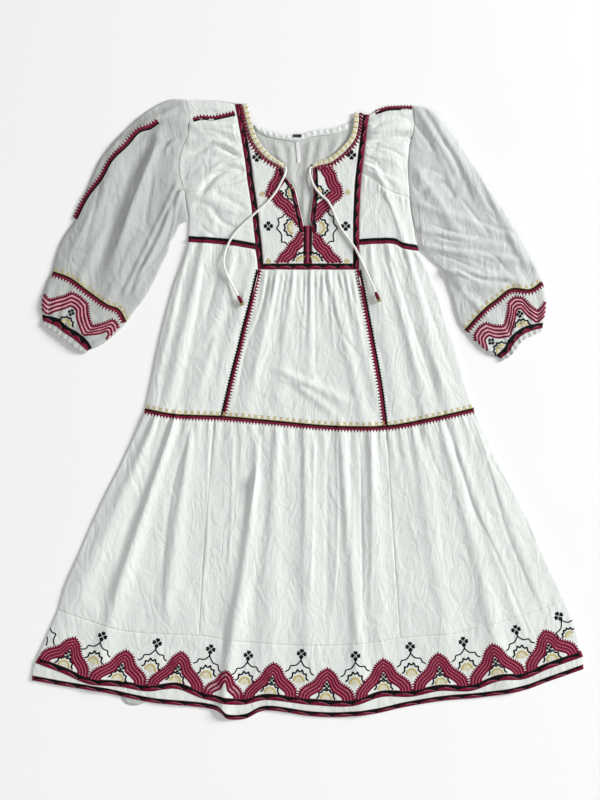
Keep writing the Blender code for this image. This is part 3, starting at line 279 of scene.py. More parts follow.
# Drawcord routes on the front, laid from the binding's end to the tassel, their
# heights chosen to clear the measured height of the solids' cloth
CORD_LEFT = [
    # x, y, height of the centre above the surface
    (-43.4, 452.5, 4.8),
    (-41.6, 448.5, 5.4),
    (-41.8, 443, 7.3),
    (-45, 434, 8.0),
    (-51, 422, 7.9),
    (-60, 406, 7.9),
    (-76, 386, 7.9),
    (-94, 370, 8.9),
    (-110, 355, 8.5),
    (-127, 339, 8.0),
    (-140, 324, 8.5),
    (-149, 308, 9.6),
    (-156, 290, 9.7),
    (-158, 270, 10.9),
    (-152, 250, 12.4),
    (-142, 230, 11.4),
    (-131, 210, 12.4),
]
CORD_RIGHT = [
    (5.4, 452.5, 4.8),
    (3.6, 448.5, 5.0),
    (3.0, 442, 6.2),
    (5, 432, 7.8),
    (11, 417, 8.0),
    (22, 402, 7.9),
    (37, 388, 7.9),
    (46, 372, 7.9),
    (53, 354, 7.9),
    (63, 335, 7.9),
    (76, 317, 8.2),
    (88, 300, 8.7),
    (99, 278, 8.8),
    (109, 256, 9.6),
    (118, 236, 11.1),
    (126, 217, 13.3),
]

# Sizes of the scene's own detail, in millimetres
CELL = 4.0                # of the cloth's grid
FINE_CELL = 2.0           # across gathers
BACK_CELL = 9.0
BODICE_CELL = 4.0         # of the back inside the neck
BACK_INSET = 1.6          # of the back's edge from the front's
BACK_SINK = 0.15          # of the back's top under the solid's
BACK_DENT = 0.14          # share of the crumpling that the back shows
EDGE_STEPS = (0.0, 0.5, 1.3, 2.6, 4.2)   # first stations in from an edge
SEAM_GROOVE = 0.8         # how deep the cloth dips at a seam
SEAM_REACH = 1.5          # how wide that dip is
PUCKER = 0.35             # height of the small puckers along a seam
LIP = 1.1                 # how far an edge is turned down
LIP_LOW = 0.2             # the lowest that a turned edge reaches
FOLD_RADIUS = 3.0         # round of a folded side edge
FOLD_LOW = 0.5            # height at which the front turns under at a side
THREAD_PITCH = 0.45       # of satin stitches
THREAD_SLANT = 0.35       # how far they lean
WAVE_PERIOD = 0.314       # scale of Blender's wave texture that repeats once a metre
STITCH_LIFT = 0.14        # of a stitched edge above the cloth
CREASE_START, CREASE_FADE = 0.06, 0.22   # shares of a crease over which it rises and fades
CREASE_UNEVEN = 26        # size of its uneven stretches
CREASE_STEEP = 0.4        # width of a crease's steeper side against the other
SOFT_STOP = 0.5           # roundness where a crease reaches the layer under it
OVERHEAD = 60.0           # where the search for the cloth under a stitch starts
NO_CLOTH = 3.0            # height taken for a stitch before the first that lies on cloth
EDGE_IN = 0.1             # of a panel's edge from its seam
FOLD_LIP = 0.3            # how far a folded side edge is turned down
FOLD_END = 0.05           # how far its end hangs under that
FAR = 100.0               # distance from a fold that a panel doesn't have
PUCKER_SIZE = 5.0         # of a pucker
PUCKER_NEAR, PUCKER_FAR = 1.4, 6.0   # where beside the seam the puckers begin and die out
TURNED = 3.0              # depth of a turned-in edge
TRIM_TURNED = 2.0         # the same on the narrow pieces
TRIM_SOFT = 0.5           # share of the creases that the stitched pieces show
SATIN_FLAT = 0.6          # share of a satin line's width that is flat on top
BLUNT = 0.08              # of a tapered line's ends
BLOB_TOP = 0.55           # share of a filled shape that is flat on top
BLOB_CROWN = 1.08         # height of its middle against its top
LAID_UV_WIDTH = 12.0      # of a ribbon's or label's stitches, across it
CUFF_TURN = 6.0           # depth of the ruffle's turned-in end
CUFF_FULL = 1.6           # how much wider a ruffle was cut than it lies

TUBE_ACROSS, TUBE_ALONG, TUBE_UNDER = 2.6, 3.0, 8.0   # cells of a sleeve's top, and its underside's
TUBE_SHORT = 25.0         # a tube shorter than this has even cells
TUBE_LOW = 0.12           # height of a sleeve's underside
TUBE_MIDDLE = 1.9         # height of the middle of its open end

# How finely lines are read
RAIL_CELLS = 300
SEARCH_CELLS = 600
SEAM_PLACES = 40
MITRE_STOP = 0.35         # least spread of a mitred corner
TINY = 1e-9

# Cloth that blouses beside the bib
SWELLS = [
    # x, y, reach across, reach along, height
    (-174, 446, 34, 68, 3.2),
    (152, 458, 34, 72, 2.6),
]

# Creases pressed into the cloth, besides the large folds
CREASES = [
    # width, height, steeper side (1 left, -1 right), places from the strong end to the fading one
    (9, -1.8, 0, (-259, -19), (-297, -139), (-335, -226), (-357, -305)),
    (6, -1.3, 1, (-218, -51), (-246, -120), (-265, -239), (-276, -421)),
    (4, 0.9, 0, (-188, -45), (-190, -258), (-203, -380)),
    (4, 0.9, -1, (-141, -50), (-147, -244), (-156, -330)),
    (8, 2.4, -1, (-103, -176), (-96, -120), (-92, -48)),
    (8, -2.6, 0, (-160, -470), (-152, -400), (-134, -320), (-117, -220), (-108, -150)),
    (7, 1.1, 0, (-86, -154), (-101, -286), (-128, -395)),
    (4, 0.8, 0, (-66, -60), (-71, -220), (-94, -395)),
    (5, -1.0, 0, (-11, -58), (-13, -150), (-15, -300)),
    (5, 1.3, 1, (13, -48), (9, -244), (4, -370)),
    (5, -1.3, 0, (36, -52), (36, -220), (36, -395)),
    (4, 1.2, 1, (54, -51), (56, -244), (47, -395)),
    (4, -0.9, 0, (76, -54), (80, -170), (74, -330)),
    (1.9, -1.3, 0, (103, -440), (101, -244), (98, -56)),
    (4, 1.0, 0, (118, -56), (119, -200), (117, -395)),
    (2, -0.7, 0, (-71, -148), (-135, -145), (-197, -145)),
    (2, -0.6, 0, (-40, -148), (10, -151), (66, -150)),
    (2, -0.8, 0, (-60, -176), (-44, -170), (-30, -172)),
    (2, -0.8, 0, (-232, -150), (-214, -134), (-200, -128)),
    (1.8, -0.8, 0, (122, -280), (148, -278)),
    (2.2, -0.9, 0, (122, -299), (150, -299)),
    (2.2, -1.0, 0, (160, -267), (184, -252), (205, -246)),
    (2, -0.8, 0, (173, -284), (188, -308)),
    (2, -0.7, 0, (135, -323), (143, -361)),
    (6, 0.9, 0, (207, -60), (233, -154), (243, -286)),
    (5, -1.4, 1, (266, -38), (286, -107), (310, -182), (355, -276), (399, -384), (421, -436)),
    (9, 1.0, 0, (282, -104), (308, -230), (337, -295), (380, -384)),
    (4, -1.0, 1, (312, -30), (342, -120), (374, -233), (421, -346), (446, -408)),
    (3, -0.7, 0, (337, -88), (395, -180), (430, -262)),
    (3, -0.8, 0, (222, -50), (236, -100), (262, -150)),
    (5, -1.4, 0, (-194, 282), (-206, 190), (-222, 109), (-246, 6)),
    (4, -1.3, 0, (-162, 290), (-175, 231), (-194, 165)),
    (9, -1.7, 0, (-118, 236), (-156, 165), (-203, 90)),
    (6, 1.2, 0, (-172, 140), (-209, 15)),
    (5, -1.2, 0, (-226, 280), (-235, 231), (-263, 109), (-288, 15)),
    (3, 0.8, 0, (-134, 292), (-152, 240), (-160, 196)),
    (5, -1.5, -1, (-72, 250), (-96, 165), (-115, 118), (-137, 6)),
    (5, 1.2, 0, (-58, 246), (-84, 130), (-108, 34)),
    (4, 1.0, 0, (-34, 252), (-43, 147), (-52, 100)),
    (4, 0.9, 0, (-14, 250), (-14, 147)),
    (2.2, -1.2, 0, (13, 252), (13, 150), (13, 62)),
    (3, -1.2, 0, (32, 248), (60, 147), (98, 94)),
    (4, 0.9, 0, (51, 244), (66, 180), (83, 110)),
    (3, -0.8, 0, (74, 240), (98, 170), (112, 92)),
    (6, 1.1, 1, (135, 290), (182, 156), (211, 62), (239, 6)),
    (4, -1.5, 0, (152, 288), (196, 156), (248, 6)),
    (5, 1.0, 0, (176, 286), (220, 128), (267, 15)),
    (4, -0.9, 0, (196, 280), (240, 150), (280, 40)),
    (4, 1.9, 1, (-56, 54), (-15, 49), (28, 62)),
    (3, -1.3, 0, (36, 22), (-6, 39), (-46, 28)),
    (3, 0.9, 0, (-24, 70), (22, 80)),
    (3, -0.9, 0, (10, 46), (40, 30), (52, 6)),
    (4, 2.6, 0, (-136, 527), (-180, 532), (-226, 534)),
    (5, 2.4, 0, (-222, 560), (-190, 562), (-160, 564), (-140, 566)),
    (4, -2.2, 0, (-222, 549), (-196, 551), (-160, 556)),
    (4, -2.5, 0, (-203, 522), (-180, 520), (-154, 508), (-134, 494)),
    (2.2, -1.4, 0, (-134, 506), (-158, 516), (-180, 526)),
    (4.6, -3.9, 0, (-126, 469), (-154, 484), (-181, 494), (-204, 482), (-226, 478)),
    (5, 1.7, 0, (-130, 480), (-156, 496), (-180, 504), (-205, 508)),
    (5, 1.7, 0, (-128, 462), (-152, 475), (-179, 479)),
    (5.5, -4.2, 0, (-118, 445), (-149, 449), (-172, 438), (-190, 419), (-202, 400)),
    (5, -2.6, 0, (-158, 446), (-178, 432), (-198, 408), (-210, 396)),
    (5, 2.2, 0, (-130, 460), (-151, 461), (-170, 452), (-196, 428)),
    (6, -2.6, 0, (-113, 370), (-149, 391), (-178, 404)),
    (4, 1.6, 0, (-124, 396), (-143, 408)),
    (6, 2.2, 0, (-132, 366), (-152, 370), (-170, 374)),
    (5, -2.5, 0, (-132, 338), (-156, 346), (-171, 361), (-184, 379), (-205, 382), (-212, 360)),
    (4, 1.9, 0, (-174, 358), (-180, 328)),
    (3, -1.3, 0, (-175, 322), (-204, 343)),
    (4, 2.0, 0, (120, 539), (175, 552), (196, 558)),
    (3, -2.2, 0, (122, 526), (152, 541), (175, 547), (194, 540)),
    (13, 5.2, 1, (214, 517), (184, 521), (150, 520), (112, 506)),
    (3, -3.4, 0, (206, 507), (180, 509), (152, 508), (110, 493)),
    (5, 1.6, 0, (186, 496), (160, 497), (130, 490)),
    (2.6, -2.0, 0, (114, 487), (152, 485), (182, 468)),
    (6, 2.0, 0, (120, 474), (150, 466), (176, 454)),
    (5, -1.6, 0, (128, 462), (145, 434), (162, 408)),
    (4, 1.4, 0, (122, 452), (137, 427), (156, 408)),
    (2.6, -1.5, 0, (137, 405), (152, 378), (165, 342), (176, 314)),
    (3, 1.0, 0, (102, 361), (118, 380), (134, 391)),
    (3, -1.0, 0, (110, 333), (130, 346), (147, 348)),
    (3, -0.9, 0, (106, 392), (120, 400)),
]
SLEEVE_CREASES = [
    (12, -4.4, 0, (-286, 514), (-318, 462), (-339, 415), (-354, 377), (-367, 335), (-385, 285),
     (-404, 240)),
    (16, -1.8, 0, (-300, 510), (-340, 450), (-362, 400), (-380, 350)),
    (6, 1.8, -1, (-284, 494), (-306, 440), (-329, 385), (-344, 340), (-364, 285)),
    (2, -1.7, 0, (-231, 438), (-259, 438)),
    (2, -2.0, 0, (-231, 414), (-259, 400)),
    (3, 1.8, 0, (-244, 500), (-259, 494), (-269, 474)),
    (3, -1.6, 0, (-238, 512), (-256, 506), (-276, 488)),
    (2.6, -2.5, 0, (-248, 393), (-269, 306), (-312, 250), (-335, 214)),
    (2.6, 1.7, 0, (-258, 380), (-277, 318), (-321, 244)),
    (2, -1.6, 0, (-240, 384), (-258, 312), (-300, 246)),
    (4, -1.6, 0, (-292, 440), (-300, 380), (-306, 330)),
    (4, -1.6, 0, (-386, 430), (-404, 360), (-420, 300)),
    (3, 1.2, 0, (-404, 372), (-424, 330), (-446, 290)),
    (3, -1.2, 0, (-440, 296), (-404, 288), (-372, 296)),
    (3, -1.0, 0, (-430, 262), (-446, 280)),
    (4, 2.2, 0, (-226, 562), (-258, 556), (-300, 536), (-344, 500)),
    (5, -2.4, 0, (-240, 572), (-280, 562), (-322, 536), (-362, 496)),
    (2.4, -1.8, 0, (-226, 555), (-262, 545), (-296, 524), (-330, 490)),
    (3, 1.3, 0, (-320, 516), (-352, 486), (-380, 446)),
    (4, -2.3, -1, (196, 538), (214, 513), (239, 478)),
    (6, -2.0, 0, (248, 508), (271, 472), (290, 434), (305, 388)),
    (6, -2.7, 0, (276, 392), (252, 424), (222, 415), (206, 398)),
    (4, -1.4, 0, (218, 448), (238, 444), (262, 430)),
    (4, 1.3, 0, (232, 500), (262, 440), (272, 410)),
    (4, -1.6, 0, (288, 392), (318, 352), (344, 322)),
    (3, -2.3, -1, (228, 344), (290, 325), (346, 316)),
    (2.6, -1.8, 0, (232, 325), (286, 312), (333, 321)),
    (4, -1.7, 0, (312, 354), (361, 335), (408, 325)),
    (3, -2.2, -1, (238, 306), (286, 297), (342, 288), (372, 258)),
    (3, 1.4, 0, (236, 316), (290, 305), (340, 302)),
    (3, -2.2, -1, (244, 288), (290, 271), (342, 246)),
    (3, 1.3, 0, (242, 297), (300, 284), (352, 266)),
    (2.6, -2.8, 0, (374, 240), (350, 238), (323, 243), (296, 254), (272, 264)),
    (11, -4.0, 0, (424, 262), (394, 258), (362, 252), (338, 252)),
    (8, 3.0, 0, (376, 224), (337, 226), (292, 241), (258, 260)),
    (3, 2.2, 0, (278, 256), (327, 233), (376, 230)),
    (8, -2.1, 0, (290, 224), (312, 208), (336, 200)),
    (6, 1.7, 0, (376, 330), (408, 268)),
    (3, -1.3, 0, (388, 312), (398, 280), (394, 250)),
    (4, 1.2, 0, (330, 420), (362, 356)),
    (3, -1.2, 0, (322, 410), (346, 368)),
]

# Thread colours, linear
CRIMSON_THREAD = (0.165, 0.005, 0.028)
BLACK_THREAD = (0.0045, 0.006, 0.007)
GOLD_THREAD = (0.56, 0.47, 0.20)
PALE_GOLD = (0.74, 0.70, 0.50)
PINK_THREAD = (0.50, 0.13, 0.19)
ROSE_THREAD = (0.72, 0.40, 0.45)


def curve_through(points, stations, by_point=False):
    """Places along a smooth curve through named points, at shares of its length or points."""
    points = np.array(points, float)
    stations = np.asarray(stations, float)
    if len(points) == 2:
        return points[0] + np.outer(stations, points[1] - points[0])
    chords = np.linalg.norm(np.diff(points, axis=0), axis=1)
    knots = np.concatenate([[0.0], np.cumsum(np.sqrt(chords))])
    slopes = np.gradient(points, knots, axis=0)

    def place(at):
        span = np.clip(np.searchsorted(knots, at, "right") - 1, 0, len(points) - 2)
        step = knots[span + 1] - knots[span]
        s = ((at - knots[span]) / step)[:, None]
        step = step[:, None]
        start = (2 * s**3 - 3 * s**2 + 1) * points[span] + step * (s**3 - 2 * s**2 + s) * slopes[span]
        end = (3 * s**2 - 2 * s**3) * points[span + 1] + step * (s**3 - s**2) * slopes[span + 1]
        return start + end

    if by_point:
        return place(np.interp(stations * (len(points) - 1), range(len(points)), knots))
    fine_at = np.linspace(0.0, knots[-1], 30 * len(points))
    fine = place(fine_at)
    run = run_along(fine)
    return place(np.interp(stations * run[-1], run, fine_at))


def even(count):
    """Even stations from 0 to 1 for so many cells."""
    return np.linspace(0.0, 1.0, count + 1)


def run_along(path):
    """Distance of each place of a path from its start."""
    return np.concatenate([[0.0], np.cumsum(np.linalg.norm(np.diff(path, axis=0), axis=1))])


def length_of(path):
    """Length of a path."""
    return np.sum(np.linalg.norm(np.diff(path, axis=0), axis=1))


def towards(place, other):
    """Unit direction from one place to another."""
    return (other - place) / np.linalg.norm(other - place)


def left_of(path):
    """Unit directions to the left of a flat path, at each of its places."""
    ahead = np.gradient(path, axis=0)
    ahead /= np.maximum(np.linalg.norm(ahead, axis=1), TINY)[:, None]
    return np.stack([-ahead[:, 1], ahead[:, 0]], axis=1)


def between(first, last, shares):
    """Rows of places across the strip between two lines, at shares of its width."""
    return np.stack([first + (last - first) * share for share in shares], axis=1)


def part_of(points, start, end):
    """The stretch of a smooth curve between the places nearest to two points."""
    fine = curve_through(points, even(SEARCH_CELLS))
    first = np.argmin(np.linalg.norm(fine - np.array(start), axis=1))
    last = np.argmin(np.linalg.norm(fine - np.array(end), axis=1))
    return curve_through(points, np.linspace(first, last, SEAM_PLACES) / SEARCH_CELLS)


def split(seam, *places):
    """The stretches that a seam is cut into at some places along it."""
    places = [seam[0], *places, seam[-1]]
    return [part_of(seam, start, end) for start, end in zip(places, places[1:])]


class Rail:
    """One edge of a panel, read by share."""

    def __init__(self, points, by_point=False):
        self.shares = even(RAIL_CELLS)
        self.line = curve_through(points, self.shares, by_point)
        self.length = length_of(self.line)

    def at(self, share):
        return np.stack([np.interp(share, self.shares, self.line[:, k]) for k in (0, 1)], axis=-1)


class Patch:
    """A panel's plan between four seams, placed by shares across (u) and along (v)."""

    def __init__(self, top, bottom, left, right, by_point=False):
        self.top, self.bottom = Rail(top), Rail(bottom)
        self.left, self.right = Rail(left, by_point), Rail(right, by_point)

    def at(self, u, v):
        u, v = np.broadcast_arrays(np.asarray(u, float), np.asarray(v, float))
        a, b = u[..., None], v[..., None]
        seams = ((1 - b) * self.top.at(u) + b * self.bottom.at(u)
                 + (1 - a) * self.left.at(v) + a * self.right.at(v))
        corners = ((1 - a) * (1 - b) * self.top.line[0] + a * (1 - b) * self.top.line[-1]
                   + (1 - a) * b * self.bottom.line[0] + a * b * self.bottom.line[-1])
        return seams - corners

    def cut(self, fullness=1.0, turned=0.0):
        """Width, length and area of the cloth it was cut from, in metres, with its turnings."""
        width = max(self.top.length, self.bottom.length) * fullness + 2 * turned
        length = max(self.left.length, self.right.length) + 2 * turned
        mean_width = (self.top.length + self.bottom.length) / 2 * fullness + 2 * turned
        mean_length = (self.left.length + self.right.length) / 2 + 2 * turned
        return width * MM, length * MM, mean_width * mean_length * MM * MM


def ruled(left, right):
    """A patch between two rails whose points pair up."""
    return Patch([left[0], right[0]], [left[-1], right[-1]], left, right, by_point=True)


def strip_sides(top, bottom):
    """The four sides of a strip between two lines, its ends straight."""
    return top, bottom, [top[0], bottom[0]], [top[-1], bottom[-1]]


NOISE_SIZE = 64
LATTICE = np.random.default_rng(11).uniform(-1.0, 1.0, (NOISE_SIZE, NOISE_SIZE))


def soft_noise(x, y, size_x, size_y, shift):
    """A smooth uneven field from -1 to 1, with features of about the given sizes."""
    gx, gy = x / size_x + shift, y / size_y + 1.7 * shift
    i, j = np.floor(gx).astype(int), np.floor(gy).astype(int)
    a, b = gx - i, gy - j
    a, b = a * a * (3 - 2 * a), b * b * (3 - 2 * b)
    i, j = i % NOISE_SIZE, j % NOISE_SIZE
    i1, j1 = (i + 1) % NOISE_SIZE, (j + 1) % NOISE_SIZE
    low = (1 - a) * LATTICE[i, j] + a * LATTICE[i1, j]
    high = (1 - a) * LATTICE[i, j1] + a * LATTICE[i1, j1]
    return (1 - b) * low + b * high


def fold_lift(x, y, folds):
    """How far the folds of a table lift the cloth at a place."""
    lift = np.zeros_like(x)
    for x0, y0, x1, y1, width0, width1, height, steep in folds:
        length = math.hypot(x1 - x0, y1 - y0)
        along = ((x - x0) * (x1 - x0) + (y - y0) * (y1 - y0)) / length**2
        across = ((x - x0) * (y1 - y0) - (y - y0) * (x1 - x0)) / length
        width = width0 + (width1 - width0) * np.clip(along, 0.0, 1.0)
        narrow = np.where(across * steep > 0, FOLD_STEEP, 1.0)
        past = np.maximum(np.maximum(-along, along - 1.0), 0.0) * length / (FOLD_FADE * width)
        ridge = height * np.exp(-((across / (width * narrow)) ** 2) - past**2)
        lift = np.maximum(lift, ridge) + FOLD_JOIN * np.minimum(lift, ridge)
    return lift


def crease_lift(x, y, creases):
    """Signed height of the pressed-in creases at a place; each fades towards its far end."""
    lift = np.zeros_like(x)
    for width, height, steep, *places in creases:
        line = curve_through(places, even(6 * len(places)))
        reach = 3 * width
        near = ((x > line[:, 0].min() - reach) & (x < line[:, 0].max() + reach)
                & (y > line[:, 1].min() - reach) & (y < line[:, 1].max() + reach))
        px, py = x[near][:, None], y[near][:, None]
        step = np.diff(line, axis=0)
        ahead = ((px - line[:-1, 0]) * step[:, 0] + (py - line[:-1, 1]) * step[:, 1]) / (step**2).sum(axis=1)
        ahead = np.clip(ahead, 0.0, 1.0)
        away_x = px - line[:-1, 0] - ahead * step[:, 0]
        away_y = py - line[:-1, 1] - ahead * step[:, 1]
        away = np.hypot(away_x, away_y)
        best = np.argmin(away, axis=1)
        row = np.arange(len(best))
        share = (best + ahead[row, best]) / len(step)
        left = step[best, 0] * away_y[row, best] - step[best, 1] * away_x[row, best] > 0
        narrow = np.where(left == (steep > 0), CREASE_STEEP, 1.0) if steep else 1.0
        across = away[row, best] / (width * narrow * (0.8 + 0.4 * share))
        ends = (np.clip(share / CREASE_START, 0.0, 1.0)
                * np.clip((1.0 - share) / CREASE_FADE, 0.0, 1.0) ** 0.6)
        uneven = 1.0 + 0.3 * soft_noise(px[:, 0], py[:, 0], CREASE_UNEVEN, CREASE_UNEVEN, width)
        lift[near] += height * uneven * ends * np.exp(-across**2)
    return lift


def swell(x, y):
    """Lift of the blousing cloth beside the bib."""
    lift = np.zeros_like(x)
    for at_x, at_y, reach_x, reach_y, height in SWELLS:
        lift += height * np.exp(-((x - at_x) / reach_x) ** 2 - ((y - at_y) / reach_y) ** 2)
    return lift


def above(top, lowest):
    """A height kept over the lowest it may reach, without a hard line where it meets it."""
    return lowest + (top - lowest + np.hypot(top - lowest, SOFT_STOP)) / 2


def crumple(x, y, tall=2.2):
    """Small unevenness of worn cloth: shallow dents, longer along Y, and a few sharper ridges."""
    x = x + 17 * soft_noise(x, y, 44, 62, 3.1)
    y = y + 24 * soft_noise(x, y, 50, 50, 7.7)
    dents = soft_noise(x, y, 38, 38 * tall, 0.3)
    ridges = 1.0 - 2.5 * np.abs(soft_noise(x, y, 24, 24 * tall, 5.2))
    small = soft_noise(x, y, 9, 9 * tall, 9.4)
    return 0.85 * dents + 0.5 * np.maximum(ridges, 0.0) + 0.2 * small


def side_x(side, y):
    """X of a side line at a height."""
    line = np.array(side, float)
    order = np.argsort(line[:, 1])
    return np.interp(y, line[order, 1], line[order, 0])


def line_y(line, x):
    """Y of a line across the dress at a place along it."""
    line = np.array(line, float)
    return np.interp(x, line[:, 0], line[:, 1])


BODY_LEFT = BODY_SIDE_LEFT + SKIRT_SIDE_LEFT[1:] + LOWER_SIDE_LEFT[1:] + HEM_SIDE_LEFT[1:]
BODY_RIGHT = BODY_SIDE_RIGHT + SKIRT_SIDE_RIGHT[1:] + LOWER_SIDE_RIGHT[1:] + HEM_SIDE_RIGHT[1:]


def front_lift(x, y):
    """Height of the front's underside over its lowest, from puff and folds."""
    inside = np.minimum(x - side_x(BODY_LEFT, y), side_x(BODY_RIGHT, y) - x)
    inside = np.maximum(inside, 0.0)
    ends = np.minimum(line_y(SHOULDER_TOP_LEFT + SHOULDER_TOP_RIGHT, x) - y, y - line_y(HEM_EDGE, x))
    near_edge = np.minimum(inside, np.maximum(ends, 0.0))
    puff = PUFF * (1.0 - np.exp(-near_edge / PUFF_REACH))
    at_side = 1.0 - np.exp(-inside / SIDE_REACH)
    return puff + fold_lift(x, y, FOLDS) * at_side


def gather_lift(u, v, edge, count, height, reach):
    """Ripples that leave one edge of a panel at right angles and fade away from it."""
    along, away = {"top": (u, v), "left": (v, u), "right": (v, 1 - u)}[edge]
    along = along + (0.35 * soft_noise(along * count, away * 3, 1.3, 1.0, count * 0.37)) / count
    which = np.floor(along * count)
    uneven = 0.72 + 0.28 * np.sin(2.3 * which + 0.7)
    long = reach * (0.75 + 0.25 * np.sin(1.7 * which))
    ripple = 0.5 - 0.5 * np.cos(2 * np.pi * along * count)
    rise = np.clip(away / (0.18 * reach), 0.0, 1.0)
    return height * uneven * ripple * rise * np.exp(-((away / long) ** 2))


def round_rise(distance, reach):
    """0 at a folded edge, 1 once past its round."""
    return np.sqrt(np.maximum(0.0, 1.0 - (1.0 - np.minimum(distance / reach, 1.0)) ** 2))


def stations(length, cell):
    """Shares along a side: close together at both ends, then about a cell apart."""
    edge = np.array(EDGE_STEPS)
    if length < 3 * edge[-1]:
        return even(6)
    count = max(2, round((length - 2 * edge[-1]) / cell))
    middle = np.linspace(edge[-1], length - edge[-1], count + 1)
    return np.concatenate([edge[:-1], middle, length - edge[:-1][::-1]]) / length


def distances(plan):
    """Distance of each place of a plan from its left, right, top and bottom edges."""
    across = np.linalg.norm(np.diff(plan, axis=1), axis=2)
    along = np.linalg.norm(np.diff(plan, axis=0), axis=2)
    left = np.concatenate([np.zeros((plan.shape[0], 1)), np.cumsum(across, axis=1)], axis=1)
    top = np.concatenate([np.zeros((1, plan.shape[1])), np.cumsum(along, axis=0)], axis=0)
    return {"left": left, "right": left[:, -1:] - left, "top": top, "bottom": top[-1:] - top}


def loop_of(rows, columns):
    """Index of each place on the edge of a grid, in order round it."""
    loop = list(range(columns))
    loop += [i * columns + columns - 1 for i in range(1, rows)]
    loop += [(rows - 1) * columns + j for j in range(columns - 2, -1, -1)]
    loop += [i * columns for i in range(rows - 2, 0, -1)]
    return loop


def signed_area(outline):
    """Area of a closed outline, positive if it runs anticlockwise."""
    ahead = np.roll(outline, -1, axis=0)
    return np.sum(outline[:, 0] * ahead[:, 1] - ahead[:, 0] * outline[:, 1]) / 2


def draw_in(outline, distance):
    """A closed outline moved inwards, its corners mitred."""
    outline = np.array(outline, float)
    turn = 1.0 if signed_area(outline) > 0 else -1.0
    edge = np.roll(outline, -1, axis=0) - outline
    edge /= np.maximum(np.linalg.norm(edge, axis=1), TINY)[:, None]
    inward = turn * np.stack([-edge[:, 1], edge[:, 0]], axis=1)
    before = np.roll(inward, 1, axis=0)
    spread = np.maximum(1.0 + np.sum(inward * before, axis=1), MITRE_STOP)
    return outline + distance * (inward + before) / spread[:, None]


def grid_faces(rows, columns, start=0, flip=False):
    """Quads of a grid of places."""
    faces = []
    for i in range(rows - 1):
        for j in range(columns - 1):
            a = start + i * columns + j
            quad = (a, a + columns, a + columns + 1, a + 1)
            faces.append(quad[::-1] if flip else quad)
    return faces


def faces_down(plan):
    """Whether the faces of a grid of places would look down."""
    across, along = plan[0, -1] - plan[0, 0], plan[-1, 0] - plan[0, 0]
    return across[0] * along[1] - across[1] * along[0] > 0


def ring_faces(upper, lower, flip=False):
    """Quads between two rings of places, given by their indices."""
    faces = []
    for k in range(len(upper)):
        after = (k + 1) % len(upper)
        quad = (upper[k], upper[after], lower[after], lower[k])
        faces.append(quad[::-1] if flip else quad)
    return faces


def turned_edge(loop, count, flip):
    """Faces of an edge turned down and in: two rings that follow the cloth's own places."""
    down = range(count, count + len(loop))
    inside = range(down.stop, down.stop + len(loop))
    return ring_faces(loop, down, flip) + ring_faces(down, inside, flip)


def add_piece(name, places, faces, materials, uvs=None, picks=None, replaces=()):
    """A smooth mesh object from places in millimetres, riding on the dress."""
    mesh = bpy.data.meshes.new(name)
    mesh.from_pydata((np.asarray(places) * MM).tolist(), [], faces)
    for material in materials:
        mesh.materials.append(material)
    if picks is not None:
        mesh.polygons.foreach_set("material_index", picks)
    if uvs is not None:
        layer = mesh.uv_layers.new(name="UVMap")
        corner = np.zeros(len(mesh.loops), dtype=np.int32)
        mesh.loops.foreach_get("vertex_index", corner)
        layer.data.foreach_set("uv", np.asarray(uvs, float)[corner].ravel())
    mesh.shade_smooth()
    mesh.validate()
    made = bpy.data.objects.new(name, mesh)
    bpy.context.scene.collection.objects.link(made)
    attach(made, "root")
    if replaces:
        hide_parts(*replaces)
    return made


def lay_sheet(made, wide, long, area=None):
    """Round the size a piece was cut to, in metres; nothing is declared or kept."""
    wide, long = round(float(wide), 4), round(float(long), 4)
    if area is not None:
        area = round(min(float(area), 0.999 * wide * long), 7)


class Ground:
    """The cloth seen from above, for laying stitches on it."""

    def __init__(self):
        self.places = []
        self.faces = []
        self.tree = None

    def add(self, places, faces):
        start = len(self.places)
        self.places.extend(np.asarray(places).tolist())
        self.faces.extend([tuple(start + k for k in face) for face in faces])
        self.tree = None

    def height(self, plan):
        """Height of the cloth under each (x, y) place."""
        if self.tree is None:
            self.tree = BVHTree.FromPolygons(self.places, self.faces)
        heights = np.zeros(len(plan))
        down = (0.0, 0.0, -1.0)
        last = NO_CLOTH
        for k, (x, y) in enumerate(plan):
            hit = self.tree.ray_cast((x, y, OVERHEAD), down)[0]
            if hit is not None:
                last = hit[2]
            heights[k] = last
        return heights


